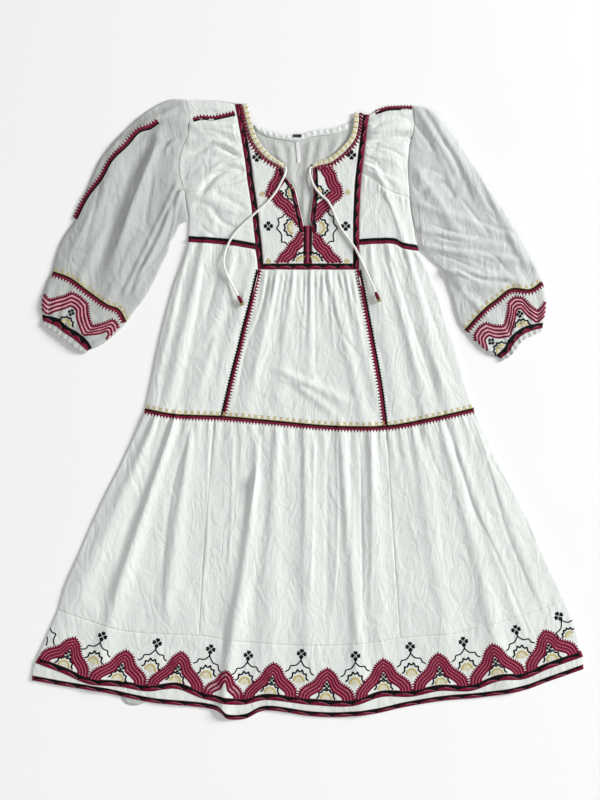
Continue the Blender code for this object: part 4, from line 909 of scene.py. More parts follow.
class Stitches:
    """Raised stitching of one colour, gathered into one mesh that lies on the cloth."""

    def __init__(self):
        self.plan = []
        self.lift = []
        self.uvs = []
        self.faces = []

    def rows(self, plan, lift, run=None):
        """A strip given as rows of places across it, with a lift for each."""
        plan = np.asarray(plan, float)
        count, wide = plan.shape[:2]
        start = len(self.plan)
        if run is None:
            run = run_along(plan[:, wide // 2])
        side = np.concatenate([np.zeros((count, 1)),
                               np.cumsum(np.linalg.norm(np.diff(plan, axis=1), axis=2), axis=1)], axis=1)
        lift = np.broadcast_to(lift, (count, wide))
        self.plan.extend(plan.reshape(-1, 2).tolist())
        self.lift.extend(lift.ravel().tolist())
        self.uvs.extend(np.stack([np.repeat(run, wide), side.ravel()], axis=1).tolist())
        self.faces.extend(grid_faces(count, wide, start, faces_down(plan)))

    def line(self, points, width, height=0.45, step=2.2, taper=False):
        """A satin line along a path; its width may vary along it."""
        points = np.asarray(points, float)
        total = run_along(points)[-1]
        count = max(2, int(round(total / step)) + 1)
        path = resampled(points, count=count)
        side = left_of(path)
        half = np.full(count, width / 2.0)
        if taper:
            at = np.linspace(0.0, total, count)
            half = half * np.sqrt(np.clip(np.minimum(at, total - at) / width + BLUNT, 0.0, 1.0))
        across = [path + side * half[:, None] * k for k in (-1.0, -SATIN_FLAT, SATIN_FLAT, 1.0)]
        lift = [STITCH_LIFT, height, height, STITCH_LIFT]
        self.rows(np.stack(across, axis=1), lift)

    def blob(self, outline, height=0.5):
        """A small filled shape, raised at its middle."""
        outline = np.asarray(outline, float)
        if signed_area(outline) < 0:
            outline = outline[::-1]
        start = len(self.plan)
        middle = outline.mean(axis=0)
        inner = middle + (outline - middle) * BLOB_TOP
        ring = len(outline)
        self.plan.extend(outline.tolist() + inner.tolist() + [middle.tolist()])
        self.lift.extend([STITCH_LIFT] * ring + [height] * ring + [height * BLOB_CROWN])
        self.uvs.extend(np.concatenate([outline, inner, [middle]]).tolist())
        for k in range(ring):
            after = (k + 1) % ring
            self.faces.append((start + k, start + after, start + ring + after, start + ring + k))
            self.faces.append((start + ring + k, start + ring + after, start + 2 * ring))

    def make(self, name, material, slot):
        """The stitching as a piece laid on the ground."""
        plan = np.array(self.plan)
        heights = ground.height(plan) + np.array(self.lift)
        add_piece(name, np.column_stack([plan, heights]), self.faces, [material], self.uvs)


def shader_of(material):
    """A material's main shader."""
    return material.node_tree.nodes["Principled BSDF"]


def add_node(material, kind, inputs=(), **settings):
    """A shader node with its settings, and each input given a value or linked to a socket."""
    made = material.node_tree.nodes.new("ShaderNode" + kind)
    for key, value in settings.items():
        setattr(made, key, value)
    for key, value in dict(inputs).items():
        if isinstance(value, bpy.types.NodeSocket):
            material.node_tree.links.new(value, made.inputs[key])
        else:
            made.inputs[key].default_value = value
    return made


def add_bump(material, height, strength, distance, below=None):
    """A bump node over another, or over the plain surface."""
    inputs = {"Strength": strength, "Distance": distance, "Height": height}
    if below is not None:
        inputs["Normal"] = below.outputs[0]
    return add_node(material, "Bump", inputs)


def connect(material, node, entry):
    """Link a node's first output to the main shader."""
    material.node_tree.links.new(node.outputs[0], shader_of(material).inputs[entry])


def mottled(material, colour, spread, scale):
    """Give a material an uneven colour, a share lighter and darker in soft patches."""
    place = add_node(material, "TexCoord")
    noise = add_node(material, "TexNoise", {"Scale": scale, "Detail": 4.0, "Roughness": 0.6,
                                            "Vector": place.outputs["Object"]})
    ramp = add_node(material, "ValToRGB", {0: noise.outputs["Fac"]})
    for stop, position, share in zip(ramp.color_ramp.elements, (0.3, 0.7), (1 - spread, 1 + spread)):
        stop.position = position
        stop.color = (*(min(1.0, c * share) for c in colour), 1.0)
    connect(material, ramp, "Base Color")
    return place


def new_material(name, roughness, specular, sheen=0.0):
    """A cloth material with its even values set."""
    material = bpy.data.materials.new(name)
    material.use_nodes = True
    values = {"Roughness": roughness, "Sheen Weight": sheen, "Sheen Roughness": 0.5,
              "Specular IOR Level": specular}
    for key, value in values.items():
        shader_of(material).inputs[key].default_value = value
    return material


def woven(name, colour, spread=0.03, pitch=0.0009, crinkle=0.5):
    """Light cotton: a plain weave, slightly uneven threads and a soft crinkle."""
    material = new_material(name, 0.88, 0.2, sheen=0.12)
    place = mottled(material, colour, spread, 9.0).outputs["Object"]
    threads = [add_node(material, "TexWave", {"Scale": WAVE_PERIOD / pitch, "Distortion": 1.2,
                                              "Detail": 1.0, "Detail Scale": 1.5, "Vector": place},
                        wave_type="BANDS", bands_direction=axis) for axis in ("X", "Y")]
    weave = add_node(material, "Math", dict(enumerate(t.outputs["Fac"] for t in threads)),
                     operation="MULTIPLY")
    fine = add_bump(material, weave.outputs[0], 0.35, 0.0002)
    stretch = add_node(material, "Mapping", {"Scale": (1.0, 0.45, 1.0), "Vector": place}).outputs[0]
    noise = add_node(material, "TexNoise", {"Scale": 230.0, "Detail": 5.0, "Roughness": 0.55,
                                            "Vector": stretch})
    lines = add_node(material, "TexNoise", {"Scale": 34.0, "Detail": 2.0, "Distortion": 0.9,
                                            "Vector": stretch})
    valley = add_node(material, "Math", {0: lines.outputs["Fac"], 1: 0.5}, operation="SUBTRACT")
    sharp = add_node(material, "Math", {0: valley.outputs[0]}, operation="ABSOLUTE")
    creased = add_bump(material, sharp.outputs[0], 0.32, 0.012, fine)
    connect(material, add_bump(material, noise.outputs["Fac"], crinkle, 0.0016, creased), "Normal")
    return material


def satin(name, colour, spread=0.12, depth=0.6, roughness=0.55, specular=0.12):
    """Embroidery thread: fine slanting stitches side by side, along the UV map, with a soft shine."""
    material = new_material(name, roughness, specular)
    mottled(material, colour, spread, 260.0)
    split = add_node(material, "SeparateXYZ", {0: add_node(material, "UVMap").outputs["UV"]})
    slant = add_node(material, "Math", {0: split.outputs["Y"], 1: THREAD_SLANT, 2: split.outputs["X"]},
                     operation="MULTIPLY_ADD")
    wave = add_node(material, "Math", {0: slant.outputs[0], 1: 2 * math.pi / THREAD_PITCH},
                    operation="MULTIPLY")
    sine = add_node(material, "Math", {0: wave.outputs[0]}, operation="SINE")
    connect(material, add_bump(material, sine.outputs[0], depth, 0.00012), "Normal")
    return material


IVORY = woven("ivory_cotton", (0.735, 0.765, 0.735))
# Sleeves, wrist bands and cuffs: the same ivory cotton as the front, painted darker as shade, the left
# sleeve darker than the right
SLEEVE_CLOTH_PAINTED_SHADE = {
    "left": woven("ivory_cotton_sleeve_left_painted_shade", (0.485, 0.505, 0.485)),
    "right": woven("ivory_cotton_sleeve_right_painted_shade", (0.60, 0.625, 0.605)),
}
# Back pieces: the same ivory cotton as the front, painted darker as the shade under the front and inside the
# neck opening
BACK_CLOTH_PAINTED_SHADE = woven("ivory_cotton_back_painted_shade", (0.55, 0.57, 0.545))
CRIMSON = satin("crimson_thread", CRIMSON_THREAD)
BLACK = satin("black_thread", BLACK_THREAD, 0.3, specular=0.05)
GOLD = satin("gold_thread", GOLD_THREAD, 0.1)
PALE = satin("pale_gold_thread", PALE_GOLD, 0.08)
PINK = satin("pink_thread", PINK_THREAD, 0.15)
ROSE = satin("rose_thread", ROSE_THREAD, 0.1)

ground = Ground()


def add_front(name, patch, folded, material=IVORY, slot="ivory_cloth", extra=0.0, turned=TURNED,
              soft=1.0):
    """A panel of the front: its top on the solid's form with fine detail, its edges turned in."""
    width = (patch.top.length + patch.bottom.length) / 2
    length = (patch.left.length + patch.right.length) / 2
    fullness, gathered, *gathers = GATHERS.get(name, NOT_GATHERED)
    across = FINE_CELL if gathered == "top" else CELL
    along = FINE_CELL if gathered in ("left", "right") else CELL
    u, v = np.meshgrid(stations(width, across), stations(length, along))
    plan = patch.at(u, v)
    x, y = plan[..., 0], plan[..., 1]
    away = distances(plan)
    seam = np.min([away[k] for k in away if k not in folded], axis=0)
    fold = np.min([away[k] for k in folded], axis=0) if folded else np.full(x.shape, FAR)
    calm = (1.0 - np.exp(-fold / SIDE_REACH)) * soft
    top = FRONT_UNDER + WALL + extra + front_lift(x, y)
    for number, height, reach in gathers:
        top += gather_lift(u, v, gathered, number, height, reach)
    top += calm * (crease_lift(x, y, CREASES) + crumple(x, y) + swell(x, y))
    top = above(top, BACK_TOP + LAY_GAP)
    near = np.exp(-((seam / PUCKER_FAR) ** 2)) * (1.0 - np.exp(-((seam / PUCKER_NEAR) ** 2)))
    top += PUCKER * soft_noise(x, y, PUCKER_SIZE, PUCKER_SIZE, 2.2) * near
    top -= SEAM_GROOVE * np.exp(-((seam / SEAM_REACH) ** 2))
    top = FOLD_LOW + (top - FOLD_LOW) * round_rise(fold, FOLD_RADIUS)
    rows, columns = x.shape
    places = np.stack([x, y, top], axis=-1).reshape(-1, 3)
    loop = loop_of(rows, columns)
    places[loop, :2] = draw_in(places[loop, :2], EDGE_IN)
    on_fold = fold.reshape(-1)[loop] < 0.01
    lip = places[loop].copy()
    lip[:, 2] = np.maximum(lip[:, 2] - np.where(on_fold, FOLD_LIP, LIP), LIP_LOW)
    inner = lip.copy()
    inner[:, :2] = draw_in(lip[:, :2], turned)
    inner[on_fold] = lip[on_fold]
    inner[on_fold, 2] -= FOLD_END
    flip = faces_down(plan)
    faces = grid_faces(rows, columns, 0, flip)
    ground.add(places, faces)
    faces += turned_edge(loop, rows * columns, flip)
    made = add_piece(name + "_cloth", np.concatenate([places, lip, inner]), faces, [material],
                     replaces=[name])
    lay_sheet(made, *patch.cut(fullness, turned))


def offset_line(points, distance):
    """A line moved sideways, to the left of its direction."""
    points = np.asarray(points, float)
    return points + distance * left_of(points)


BIB_LEFT_BAND = [row[:2] for row in BIB_LEFT]
BIB_LEFT_SLIT = [row[2:] for row in BIB_LEFT]
BIB_RIGHT_SLIT = [row[:2] for row in BIB_RIGHT]
BIB_RIGHT_BAND = [row[2:] for row in BIB_RIGHT]
BAND_LINE_LEFT = BIB_LEFT_BAND + [BAND_FOOT_LEFT]
BAND_LINE_RIGHT = BIB_RIGHT_BAND + [BAND_FOOT_RIGHT]
OUTER_LEFT = [(x - BAND_WIDTH, y) for x, y in BIB_LEFT_BAND] + [(-94, BAND_FOOT)]
OUTER_RIGHT = [(x + BAND_WIDTH, y) for x, y in BIB_RIGHT_BAND] + [(96, BAND_FOOT)]


def panels():
    """Every front panel's patch by name."""
    made = {
        "bib_left": ruled(BIB_LEFT_BAND, BIB_LEFT_SLIT),
        "bib_right": ruled(BIB_RIGHT_SLIT, BIB_RIGHT_BAND),
        "bib_band_left": ruled([(x - BAND_WIDTH, y) for x, y in BAND_LINE_LEFT], BAND_LINE_LEFT),
        "bib_band_right": ruled(BAND_LINE_RIGHT, [(x + BAND_WIDTH, y) for x, y in BAND_LINE_RIGHT]),
        "bib_band_bottom": Patch(*strip_sides(
            [(BIB_LEFT[-1][0], BIB_FOOT), (BIB_RIGHT[-1][2], BIB_FOOT)],
            [BAND_FOOT_LEFT, BAND_FOOT_RIGHT])),
        "placket": ruled([(BIB_LEFT[-1][2], y) for y in (SLIT_FOOT, 306, BIB_FOOT)],
                         [(BIB_RIGHT[-1][0], y) for y in (SLIT_FOOT, 306, BIB_FOOT)]),
        "neck_binding_left": neck_patch(NECK_EDGE_LEFT, BIB_LEFT_SLIT),
        "neck_binding_right": neck_patch(NECK_EDGE_RIGHT, BIB_RIGHT_SLIT),
    }
    top_left, top_right = (-134, 551), (113, 545)
    arm_left, arm_right = (-223, 540), (198, 560)
    under_left, under_right = MID_SEAM_LEFT[0], MID_SEAM_RIGHT[-1]
    band_left, band_right = MID_SEAM_LEFT[-1], MID_SEAM_RIGHT[0]
    waist = split(WAIST_SEAM, YOKE_SEAM_LEFT[-1], YOKE_SEAM_RIGHT[-1])
    tier = split(WAIST_SEAM, PANEL_SEAM_LEFT[0], PANEL_SEAM_RIGHT[0])
    foot = split(HEM_SEAM, PANEL_SEAM_LEFT[-1], PANEL_SEAM_RIGHT[-1])
    rows = {
        # panel: top, bottom, left, right
        "shoulder_left": (SHOULDER_TOP_LEFT, SHOULDER_SEAM_LEFT,
                          part_of(ARMHOLE_LEFT, ARMHOLE_LEFT[0], arm_left),
                          part_of(OUTER_LEFT, OUTER_LEFT[0], top_left)),
        "shoulder_right": (SHOULDER_TOP_RIGHT, SHOULDER_SEAM_RIGHT,
                           part_of(OUTER_RIGHT, OUTER_RIGHT[0], top_right),
                           part_of(ARMHOLE_RIGHT, ARMHOLE_RIGHT[0], arm_right)),
        "chest_upper_left": (SHOULDER_SEAM_LEFT, MID_SEAM_LEFT,
                             part_of(ARMHOLE_LEFT, arm_left, under_left),
                             part_of(OUTER_LEFT, top_left, band_left)),
        "chest_upper_right": (SHOULDER_SEAM_RIGHT, MID_SEAM_RIGHT,
                              part_of(OUTER_RIGHT, top_right, band_right),
                              part_of(ARMHOLE_RIGHT, arm_right, under_right)),
        "chest_lower_left": (MID_SEAM_LEFT, BAND_TOP_LEFT, BODY_SIDE_LEFT,
                             part_of(OUTER_LEFT, band_left, BAND_TOP_LEFT[-1])),
        "chest_lower_right": (MID_SEAM_RIGHT, BAND_TOP_RIGHT,
                              part_of(OUTER_RIGHT, band_right, BAND_TOP_RIGHT[0]), BODY_SIDE_RIGHT),
        "waist_band_left": strip_sides(BAND_TOP_LEFT, BAND_LOW_LEFT),
        "waist_band_right": strip_sides(BAND_TOP_RIGHT, BAND_LOW_RIGHT),
        "skirt_upper_left": (BAND_LOW_LEFT, waist[0], SKIRT_SIDE_LEFT, YOKE_SEAM_LEFT, True),
        "skirt_upper_centre": ([YOKE_SEAM_LEFT[1], YOKE_SEAM_RIGHT[1]], waist[1],
                               YOKE_SEAM_LEFT[1:], YOKE_SEAM_RIGHT[1:], True),
        "skirt_upper_right": (BAND_LOW_RIGHT, waist[2], YOKE_SEAM_RIGHT, SKIRT_SIDE_RIGHT, True),
        "skirt_lower_left": (tier[0], foot[0], LOWER_SIDE_LEFT, PANEL_SEAM_LEFT),
        "skirt_lower_centre": (tier[1], foot[1], PANEL_SEAM_LEFT, PANEL_SEAM_RIGHT),
        "skirt_lower_right": (tier[2], foot[2], PANEL_SEAM_RIGHT, LOWER_SIDE_RIGHT),
        "hem_band_front": (HEM_SEAM, HEM_EDGE, HEM_SIDE_LEFT, HEM_SIDE_RIGHT),
    }
    made.update((name, Patch(*row)) for name, row in rows.items())
    return made


def neck_patch(edge, slit):
    """The binding between a bib half's neck edge and the opening, section by section."""
    seam = curve_through(slit, np.linspace(0, len(edge) - 1, 40) / (len(slit) - 1), True)
    rim = curve_through(edge, even(39), True)
    return ruled(seam, rim)


PANELS = panels()
HEM = PANELS["hem_band_front"]
SIDES_FOLDED = {"shoulder_left": ("top",), "shoulder_right": ("top",), "hem_band_front": ("left", "right")}
for side in ("left", "right"):
    for piece in ("chest_lower_", "waist_band_", "skirt_upper_", "skirt_lower_"):
        SIDES_FOLDED[piece + side] = (side,)

# Pieces with stitching all over, or of coloured cloth
STITCHED = {
    # start of the name: material, slot, height over the cloth
    "bib_band": (CRIMSON, "crimson_trim", RAISED),
    "placket": (CRIMSON, "crimson_trim", RAISED),
    "waist_band": (BLACK, "black_trim", RAISED),
    "neck_binding": (IVORY, "embroidered_cloth", RAISED),
    "bib": (IVORY, "embroidered_cloth", 0.0),
}
for name, patch in PANELS.items():
    kind = next((STITCHED[start] for start in STITCHED if name.startswith(start)), None)
    if kind is None:
        add_front(name, patch, SIDES_FOLDED.get(name, ()))
    else:
        add_front(name, patch, SIDES_FOLDED.get(name, ()), *kind, TRIM_TURNED, TRIM_SOFT)


class HemFrame:
    """Places on the hem band by distance along its upper ribbon and height above it."""

    def __init__(self):
        u, v = even(400), even(80)
        plan = HEM.at(*np.meshgrid(u, v))
        ribbon = curve_through(HEM_RIBBON, even(300))
        below = line_y(ribbon, plan[..., 0]) - plan[..., 1]
        self.base = np.array([[np.interp(0.0, below[:, j], plan[:, j, k]) for k in (0, 1)]
                              for j in range(len(u))])
        up = plan[0] - self.base
        self.up = up / np.linalg.norm(up, axis=1)[:, None]

    def at(self, x, high):
        """Places over the ribbon's point at x, a distance up the band."""
        x, high = np.broadcast_arrays(np.asarray(x, float), np.asarray(high, float))
        base, up = (np.stack([np.interp(x, self.base[:, 0], table[:, k]) for k in (0, 1)], axis=-1)
                    for table in (self.base, self.up))
        return base + up * high[..., None]


hem = HemFrame()


def add_laid(name, plan, material, height, turned=1.5):
    """A ribbon or label lying on the cloth, its edges turned down."""
    rows, columns = plan.shape[:2]
    flat = plan.reshape(-1, 2)
    low = ground.height(flat).reshape(rows, columns)
    wall = np.full((rows, columns), height)
    wall[0], wall[-1] = 0.55 * height, 0.55 * height
    places = np.column_stack([flat, (low + wall).ravel()])
    loop = loop_of(rows, columns)
    lip = places[loop].copy()
    lip[:, 2] -= 0.5 * height
    inner = lip.copy()
    inner[:, :2] = draw_in(lip[:, :2], turned)
    flip = faces_down(plan)
    faces = grid_faces(rows, columns, 0, flip)
    ground.add(places, faces)
    faces += turned_edge(loop, rows * columns, flip)
    run = run_along(plan[0])
    side = np.linspace(0.0, LAID_UV_WIDTH, rows)
    uvs = np.stack(np.meshgrid(run, side), axis=-1).reshape(-1, 2)
    uvs = np.concatenate([uvs, uvs[loop], uvs[loop]])
    made = add_piece(name + "_cloth", np.concatenate([places, lip, inner]), faces, [material], uvs,
                     replaces=[name])
    tall = np.linalg.norm(plan[-1, 0] - plan[0, 0])
    lay_sheet(made, (run[-1] + 2 * turned) * MM, (tall + 2 * turned) * MM)


RIBBON_X = np.linspace(-509.0, 514.5, 420)
upper_ribbon = np.stack([hem.at(RIBBON_X, high) for high in (6.0, 5.0, 2.0, -2.0, -5.0, -6.0)])
add_laid("hem_ribbon_upper", upper_ribbon, CRIMSON, 1.1)
edge_rail = HEM.bottom.at(even(420))
edge_rail[:, 1] += 0.4
lower_ribbon = np.stack([edge_rail + np.array((0.0, rise)) for rise in (9.6, 8.8, 6.0, 3.6, 0.9, 0.2)])
add_laid("hem_ribbon_lower", lower_ribbon, CRIMSON, 1.1)


def add_slab(name, outline, cell=BACK_CELL):
    """A flat back piece: its two faces with shallow dents, joined round the edge."""
    outline = draw_in(outline, BACK_INSET)
    low, high = outline.min(axis=0), outline.max(axis=0)
    xs, ys = (np.arange(low[k] - cell, high[k] + 2 * cell, cell) for k in (0, 1))
    points = [tuple(p) for p in outline] + points_in(outline, xs, ys, cell * 0.45)
    edges = [(k, (k + 1) % len(outline)) for k in range(len(outline))]
    made = delaunay_2d_cdt([tuple(map(float, p)) for p in points], edges, [], 1, 1e-4)
    flat = np.array([(p[0], p[1]) for p in made[0]])
    faces = [tuple(f) for f in made[2]]
    dent = BACK_DENT * crumple(flat[:, 0], flat[:, 1])
    lift = BACK_TOP - BACK_SINK + np.clip(dent, -0.5, 0.12)
    if name == "back_bodice":
        lift += neck_folds(flat[:, 0], flat[:, 1])
    top = np.column_stack([flat, lift])
    under = np.column_stack([flat, 0.22 + np.clip(-dent, -0.2, 0.4)])
    count = len(flat)
    shell = faces + [tuple(count + k for k in f[::-1]) for f in faces]
    used = dict.fromkeys((face[k], face[(k + 1) % len(face)]) for face in faces for k in range(len(face)))
    shell += [(b, a, count + a, count + b) for a, b in used if (b, a) not in used]
    ground.add(top, faces)
    # The back's cloth is painted darker as shade
    made = add_piece(name + "_cloth", np.concatenate([top, under]), shell, [BACK_CLOTH_PAINTED_SHADE],
                     replaces=[name])
    lay_sheet(made, *((high - low) * MM), abs(signed_area(outline)) * MM * MM)


# Soft folds of the back, seen through the neck opening
NECK_FADE = 6.0           # distance in from the front over which they rise
CASING_DEPTH, CASING_FADE = 16.0, 10.0   # how far under the casing they start, and rise
NECK_FOLDS = [
    # start x, start y, end x, end y, start width, end width, height, steep side
    (-62, 506, -50, 462, 7, 9, 3.2, 0),
    (-34, 500, -30, 376, 5, 8, 2.8, 1),
    (4, 502, -8, 380, 5, 6, 3.0, -1),
    (30, 512, 14, 440, 7, 9, 3.2, 0),
    (58, 520, 46, 476, 6, 8, 2.8, 1),
]


def neck_folds(x, y):
    """Lift of the back's folds inside the neck opening, none under the front."""
    left = side_x(NECK_EDGE_LEFT + BIB_LEFT_SLIT[5:], y)
    right = side_x(NECK_EDGE_RIGHT + BIB_RIGHT_SLIT[6:], y)
    inside = np.clip(np.minimum(x - left, right - x) / NECK_FADE, 0.0, 1.0)
    below = np.clip((line_y(BACK_NECK, x) - CASING_DEPTH - y) / CASING_FADE, 0.0, 1.0)
    return fold_lift(x, y, NECK_FOLDS) * inside * below


def points_in(outline, xs, ys, margin):
    """Grid places inside an outline, kept clear of it."""
    kept = []
    ahead = np.roll(outline, -1, axis=0)
    run = ahead - outline
    for y in ys:
        for x in xs:
            crossing = (outline[:, 1] > y) != (ahead[:, 1] > y)
            at = outline[:, 0] + (y - outline[:, 1]) / np.where(run[:, 1] == 0, TINY, run[:, 1]) * run[:, 0]
            if np.sum(crossing & (x < at)) % 2 == 0:
                continue
            share = np.clip(((x - outline[:, 0]) * run[:, 0] + (y - outline[:, 1]) * run[:, 1])
                            / np.sum(run**2, axis=1), 0.0, 1.0)
            gap = np.hypot(outline[:, 0] + share * run[:, 0] - x, outline[:, 1] + share * run[:, 1] - y)
            if gap.min() > margin:
                kept.append((float(x), float(y)))
    return kept


def rail(points, cells, backwards=False):
    """Places along a seam as a list, for an outline."""
    places = [tuple(p) for p in curve_through(points, even(cells))]
    return places[::-1] if backwards else places


waist_left, waist_right = BAND_LOW_LEFT[0], BAND_LOW_RIGHT[-1]
neck_line = [NECK_EDGE_LEFT[0], (-107, 546)] + BACK_NECK + [(84, 546), NECK_EDGE_RIGHT[0]]
back_top = rail(SHOULDER_TOP_LEFT, 12) + rail(neck_line, 50) + rail(SHOULDER_TOP_RIGHT, 12)
add_slab("back_bodice", back_top + rail(ARMHOLE_RIGHT, 30)[1:] + [(201, 318), waist_right]
         + (rail(ARMHOLE_LEFT, 30)[1:] + [(-224, 360), waist_left])[::-1], BODICE_CELL)
add_slab("back_skirt_upper", [waist_left, waist_right] + rail(SKIRT_SIDE_RIGHT, 30)[1:]
         + rail(WAIST_SEAM, 40, True)[1:] + rail(SKIRT_SIDE_LEFT, 30, True)[1:-1])
add_slab("back_skirt_lower", rail(WAIST_SEAM, 40) + rail(LOWER_SIDE_RIGHT, 30)[1:]
         + rail(HEM_SEAM, 60, True)[1:] + rail(LOWER_SIDE_LEFT, 30, True)[1:-1])
add_slab("back_hem_band", rail(HEM_SEAM, 60) + rail(HEM_SIDE_RIGHT[:-1], 16)[1:]
         + rail(BACK_HEM_EDGE, 90, True) + rail(HEM_SIDE_LEFT[:-1], 16, True)[:-1])


def add_tube(name, patch, material, dome_of, hem_turn=0.0, full=1.0):
    """A sleeve part as a fine flattened tube; an open end is turned inside."""
    width = (patch.top.length + patch.bottom.length) / 2
    length = (patch.left.length + patch.right.length) / 2
    u_top = stations(width, TUBE_ACROSS)
    rows = stations(length, TUBE_ALONG) if length > TUBE_SHORT else even(12)
    u_low = stations(width, TUBE_UNDER)[1:-1][::-1]
    u, v = np.meshgrid(np.concatenate([u_top, u_low]), rows)
    plan = patch.at(u, v)
    x, y = plan[..., 0], plan[..., 1]
    chord = patch.at(np.ones(len(rows)), rows) - patch.at(np.zeros(len(rows)), rows)
    across = np.linalg.norm(chord, axis=1)[:, None]
    edge = np.minimum(u, 1.0 - u) * across
    upper = len(u_top)
    top = dome_of(x, y, u, v)
    rise = round_rise(edge, EDGE_ROUND)
    calm = 1.0 - np.exp(-edge / SIDE_REACH)
    detail = calm * (crease_lift(x, y, SLEEVE_CREASES) + crumple(x, y, 1.2))
    over = SLEEVE_EDGE + (above(top + detail, SLEEVE_EDGE) - SLEEVE_EDGE) * rise
    end = np.minimum(v, 1.0 - v) * length
    over -= SEAM_GROOVE * np.exp(-((end / SEAM_REACH) ** 2)) * (hem_turn == 0.0)
    below = SLEEVE_EDGE * (1.0 - round_rise(edge, EDGE_ROUND / 2)) + TUBE_LOW
    z = np.where(np.arange(u.shape[1])[None, :] < upper, over, below)
    places = np.stack([x, y, z], axis=-1)
    ring = places.shape[1]
    rings = [places[i] for i in range(len(rows))]
    if hem_turn:
        for back, share in ((0.0, 0.7), (hem_turn / 2, 0.72), (hem_turn, 0.75)):
            at = patch.at(u[-1], np.full(ring, 1.0 - back / length))
            inner = TUBE_MIDDLE + (z[-1] - TUBE_MIDDLE) * share
            rings.append(np.column_stack([at + (at.mean(axis=0) - at) * 0.01, inner]))
    faces = []
    flip = faces_down(plan[:, :upper])
    for i in range(len(rings) - 1):
        for k in range(ring):
            after = (k + 1) % ring
            quad = (i * ring + k, (i + 1) * ring + k, (i + 1) * ring + after, i * ring + after)
            faces.append(quad[::-1] if flip else quad)
    places = np.concatenate(rings)
    kept = [f for f in faces if max(f) < len(rows) * ring and all(k % ring < upper for k in f)]
    ground.add(places, kept)
    made = add_piece(name + "_cloth", places, faces, [material], replaces=[name])
    wide, long, area = patch.cut(full, hem_turn / 2)
    lay_sheet(made, 2 * wide, long, 2 * area)


NOWHERE = 9.0             # past a piece's end, as a share of its length


def sleeve_dome(ripples, height, from_seam=False, calm=(0.0, 1.0)):
    """Top height of a sleeve part: its puff, folds, and ripples that grow towards its end.

    The ripples stand between two shares of its length, and are pressed flat beyond them.
    """
    def dome(x, y, u, v):
        past = np.clip(v / SEAM_SHARE, 0.0, 1.0) ** 0.5 if from_seam else 1.0
        puff = 2 * SLEEVE_EDGE + SLEEVE_PUFF * np.sin(np.pi * np.clip(u, 0.0, 1.0)) ** 0.5 * past
        flat = np.clip((v - calm[0]) / 0.15, 0.15, 1.0) * np.clip((calm[1] - v) / 0.15, 0.15, 1.0)
        wave = 0.5 - 0.5 * np.cos(2 * np.pi * ripples * u + 1.3 * np.sin(5 * u))
        small = 0.5 - 0.5 * np.cos(2 * np.pi * 3.3 * ripples * u + 2.1 * np.sin(7 * u))
        return puff + fold_lift(x, y, SLEEVE_FOLDS) * past + height * (wave + 0.3 * small) * v * flat
    return dome


SLEEVES = {
    "left": (ARMHOLE_LEFT, SLEEVE_OUTER_LEFT, SLEEVE_INNER_LEFT, SAWTOOTH_LEFT,
             WRIST_OUTER_LEFT, WRIST_INNER_LEFT, CUFF_LINE_LEFT, RUFFLE_LEFT),
    "right": (ARMHOLE_RIGHT, SLEEVE_OUTER_RIGHT, SLEEVE_INNER_RIGHT, SAWTOOTH_RIGHT,
              WRIST_OUTER_RIGHT, WRIST_INNER_RIGHT, CUFF_LINE_RIGHT, RUFFLE_RIGHT),
}
WRISTS, CUFFS = {}, {}
for side, (armhole, outer, inner, sawtooth, wrist_out, wrist_in, cuff, ruffle) in SLEEVES.items():
    # Each sleeve's cloth is painted darker as shade
    add_tube("sleeve_" + side, Patch(armhole, sawtooth, outer, inner, True), SLEEVE_CLOTH_PAINTED_SHADE[side],
             sleeve_dome(0, 0.0, True))
    WRISTS[side] = Patch(sawtooth, cuff, wrist_out, wrist_in)
    add_tube("sleeve_band_" + side, WRISTS[side], SLEEVE_CLOTH_PAINTED_SHADE[side],
             sleeve_dome(WRIST_RIPPLES, 3.0, calm=(0.0, 0.98)))
    CUFFS[side] = Patch(*strip_sides(cuff, ruffle))
    add_tube("cuff_" + side, CUFFS[side], SLEEVE_CLOTH_PAINTED_SHADE[side],
             sleeve_dome(CUFF_RIPPLES, 2.5, calm=(0.2, NOWHERE)), CUFF_TURN, CUFF_FULL)


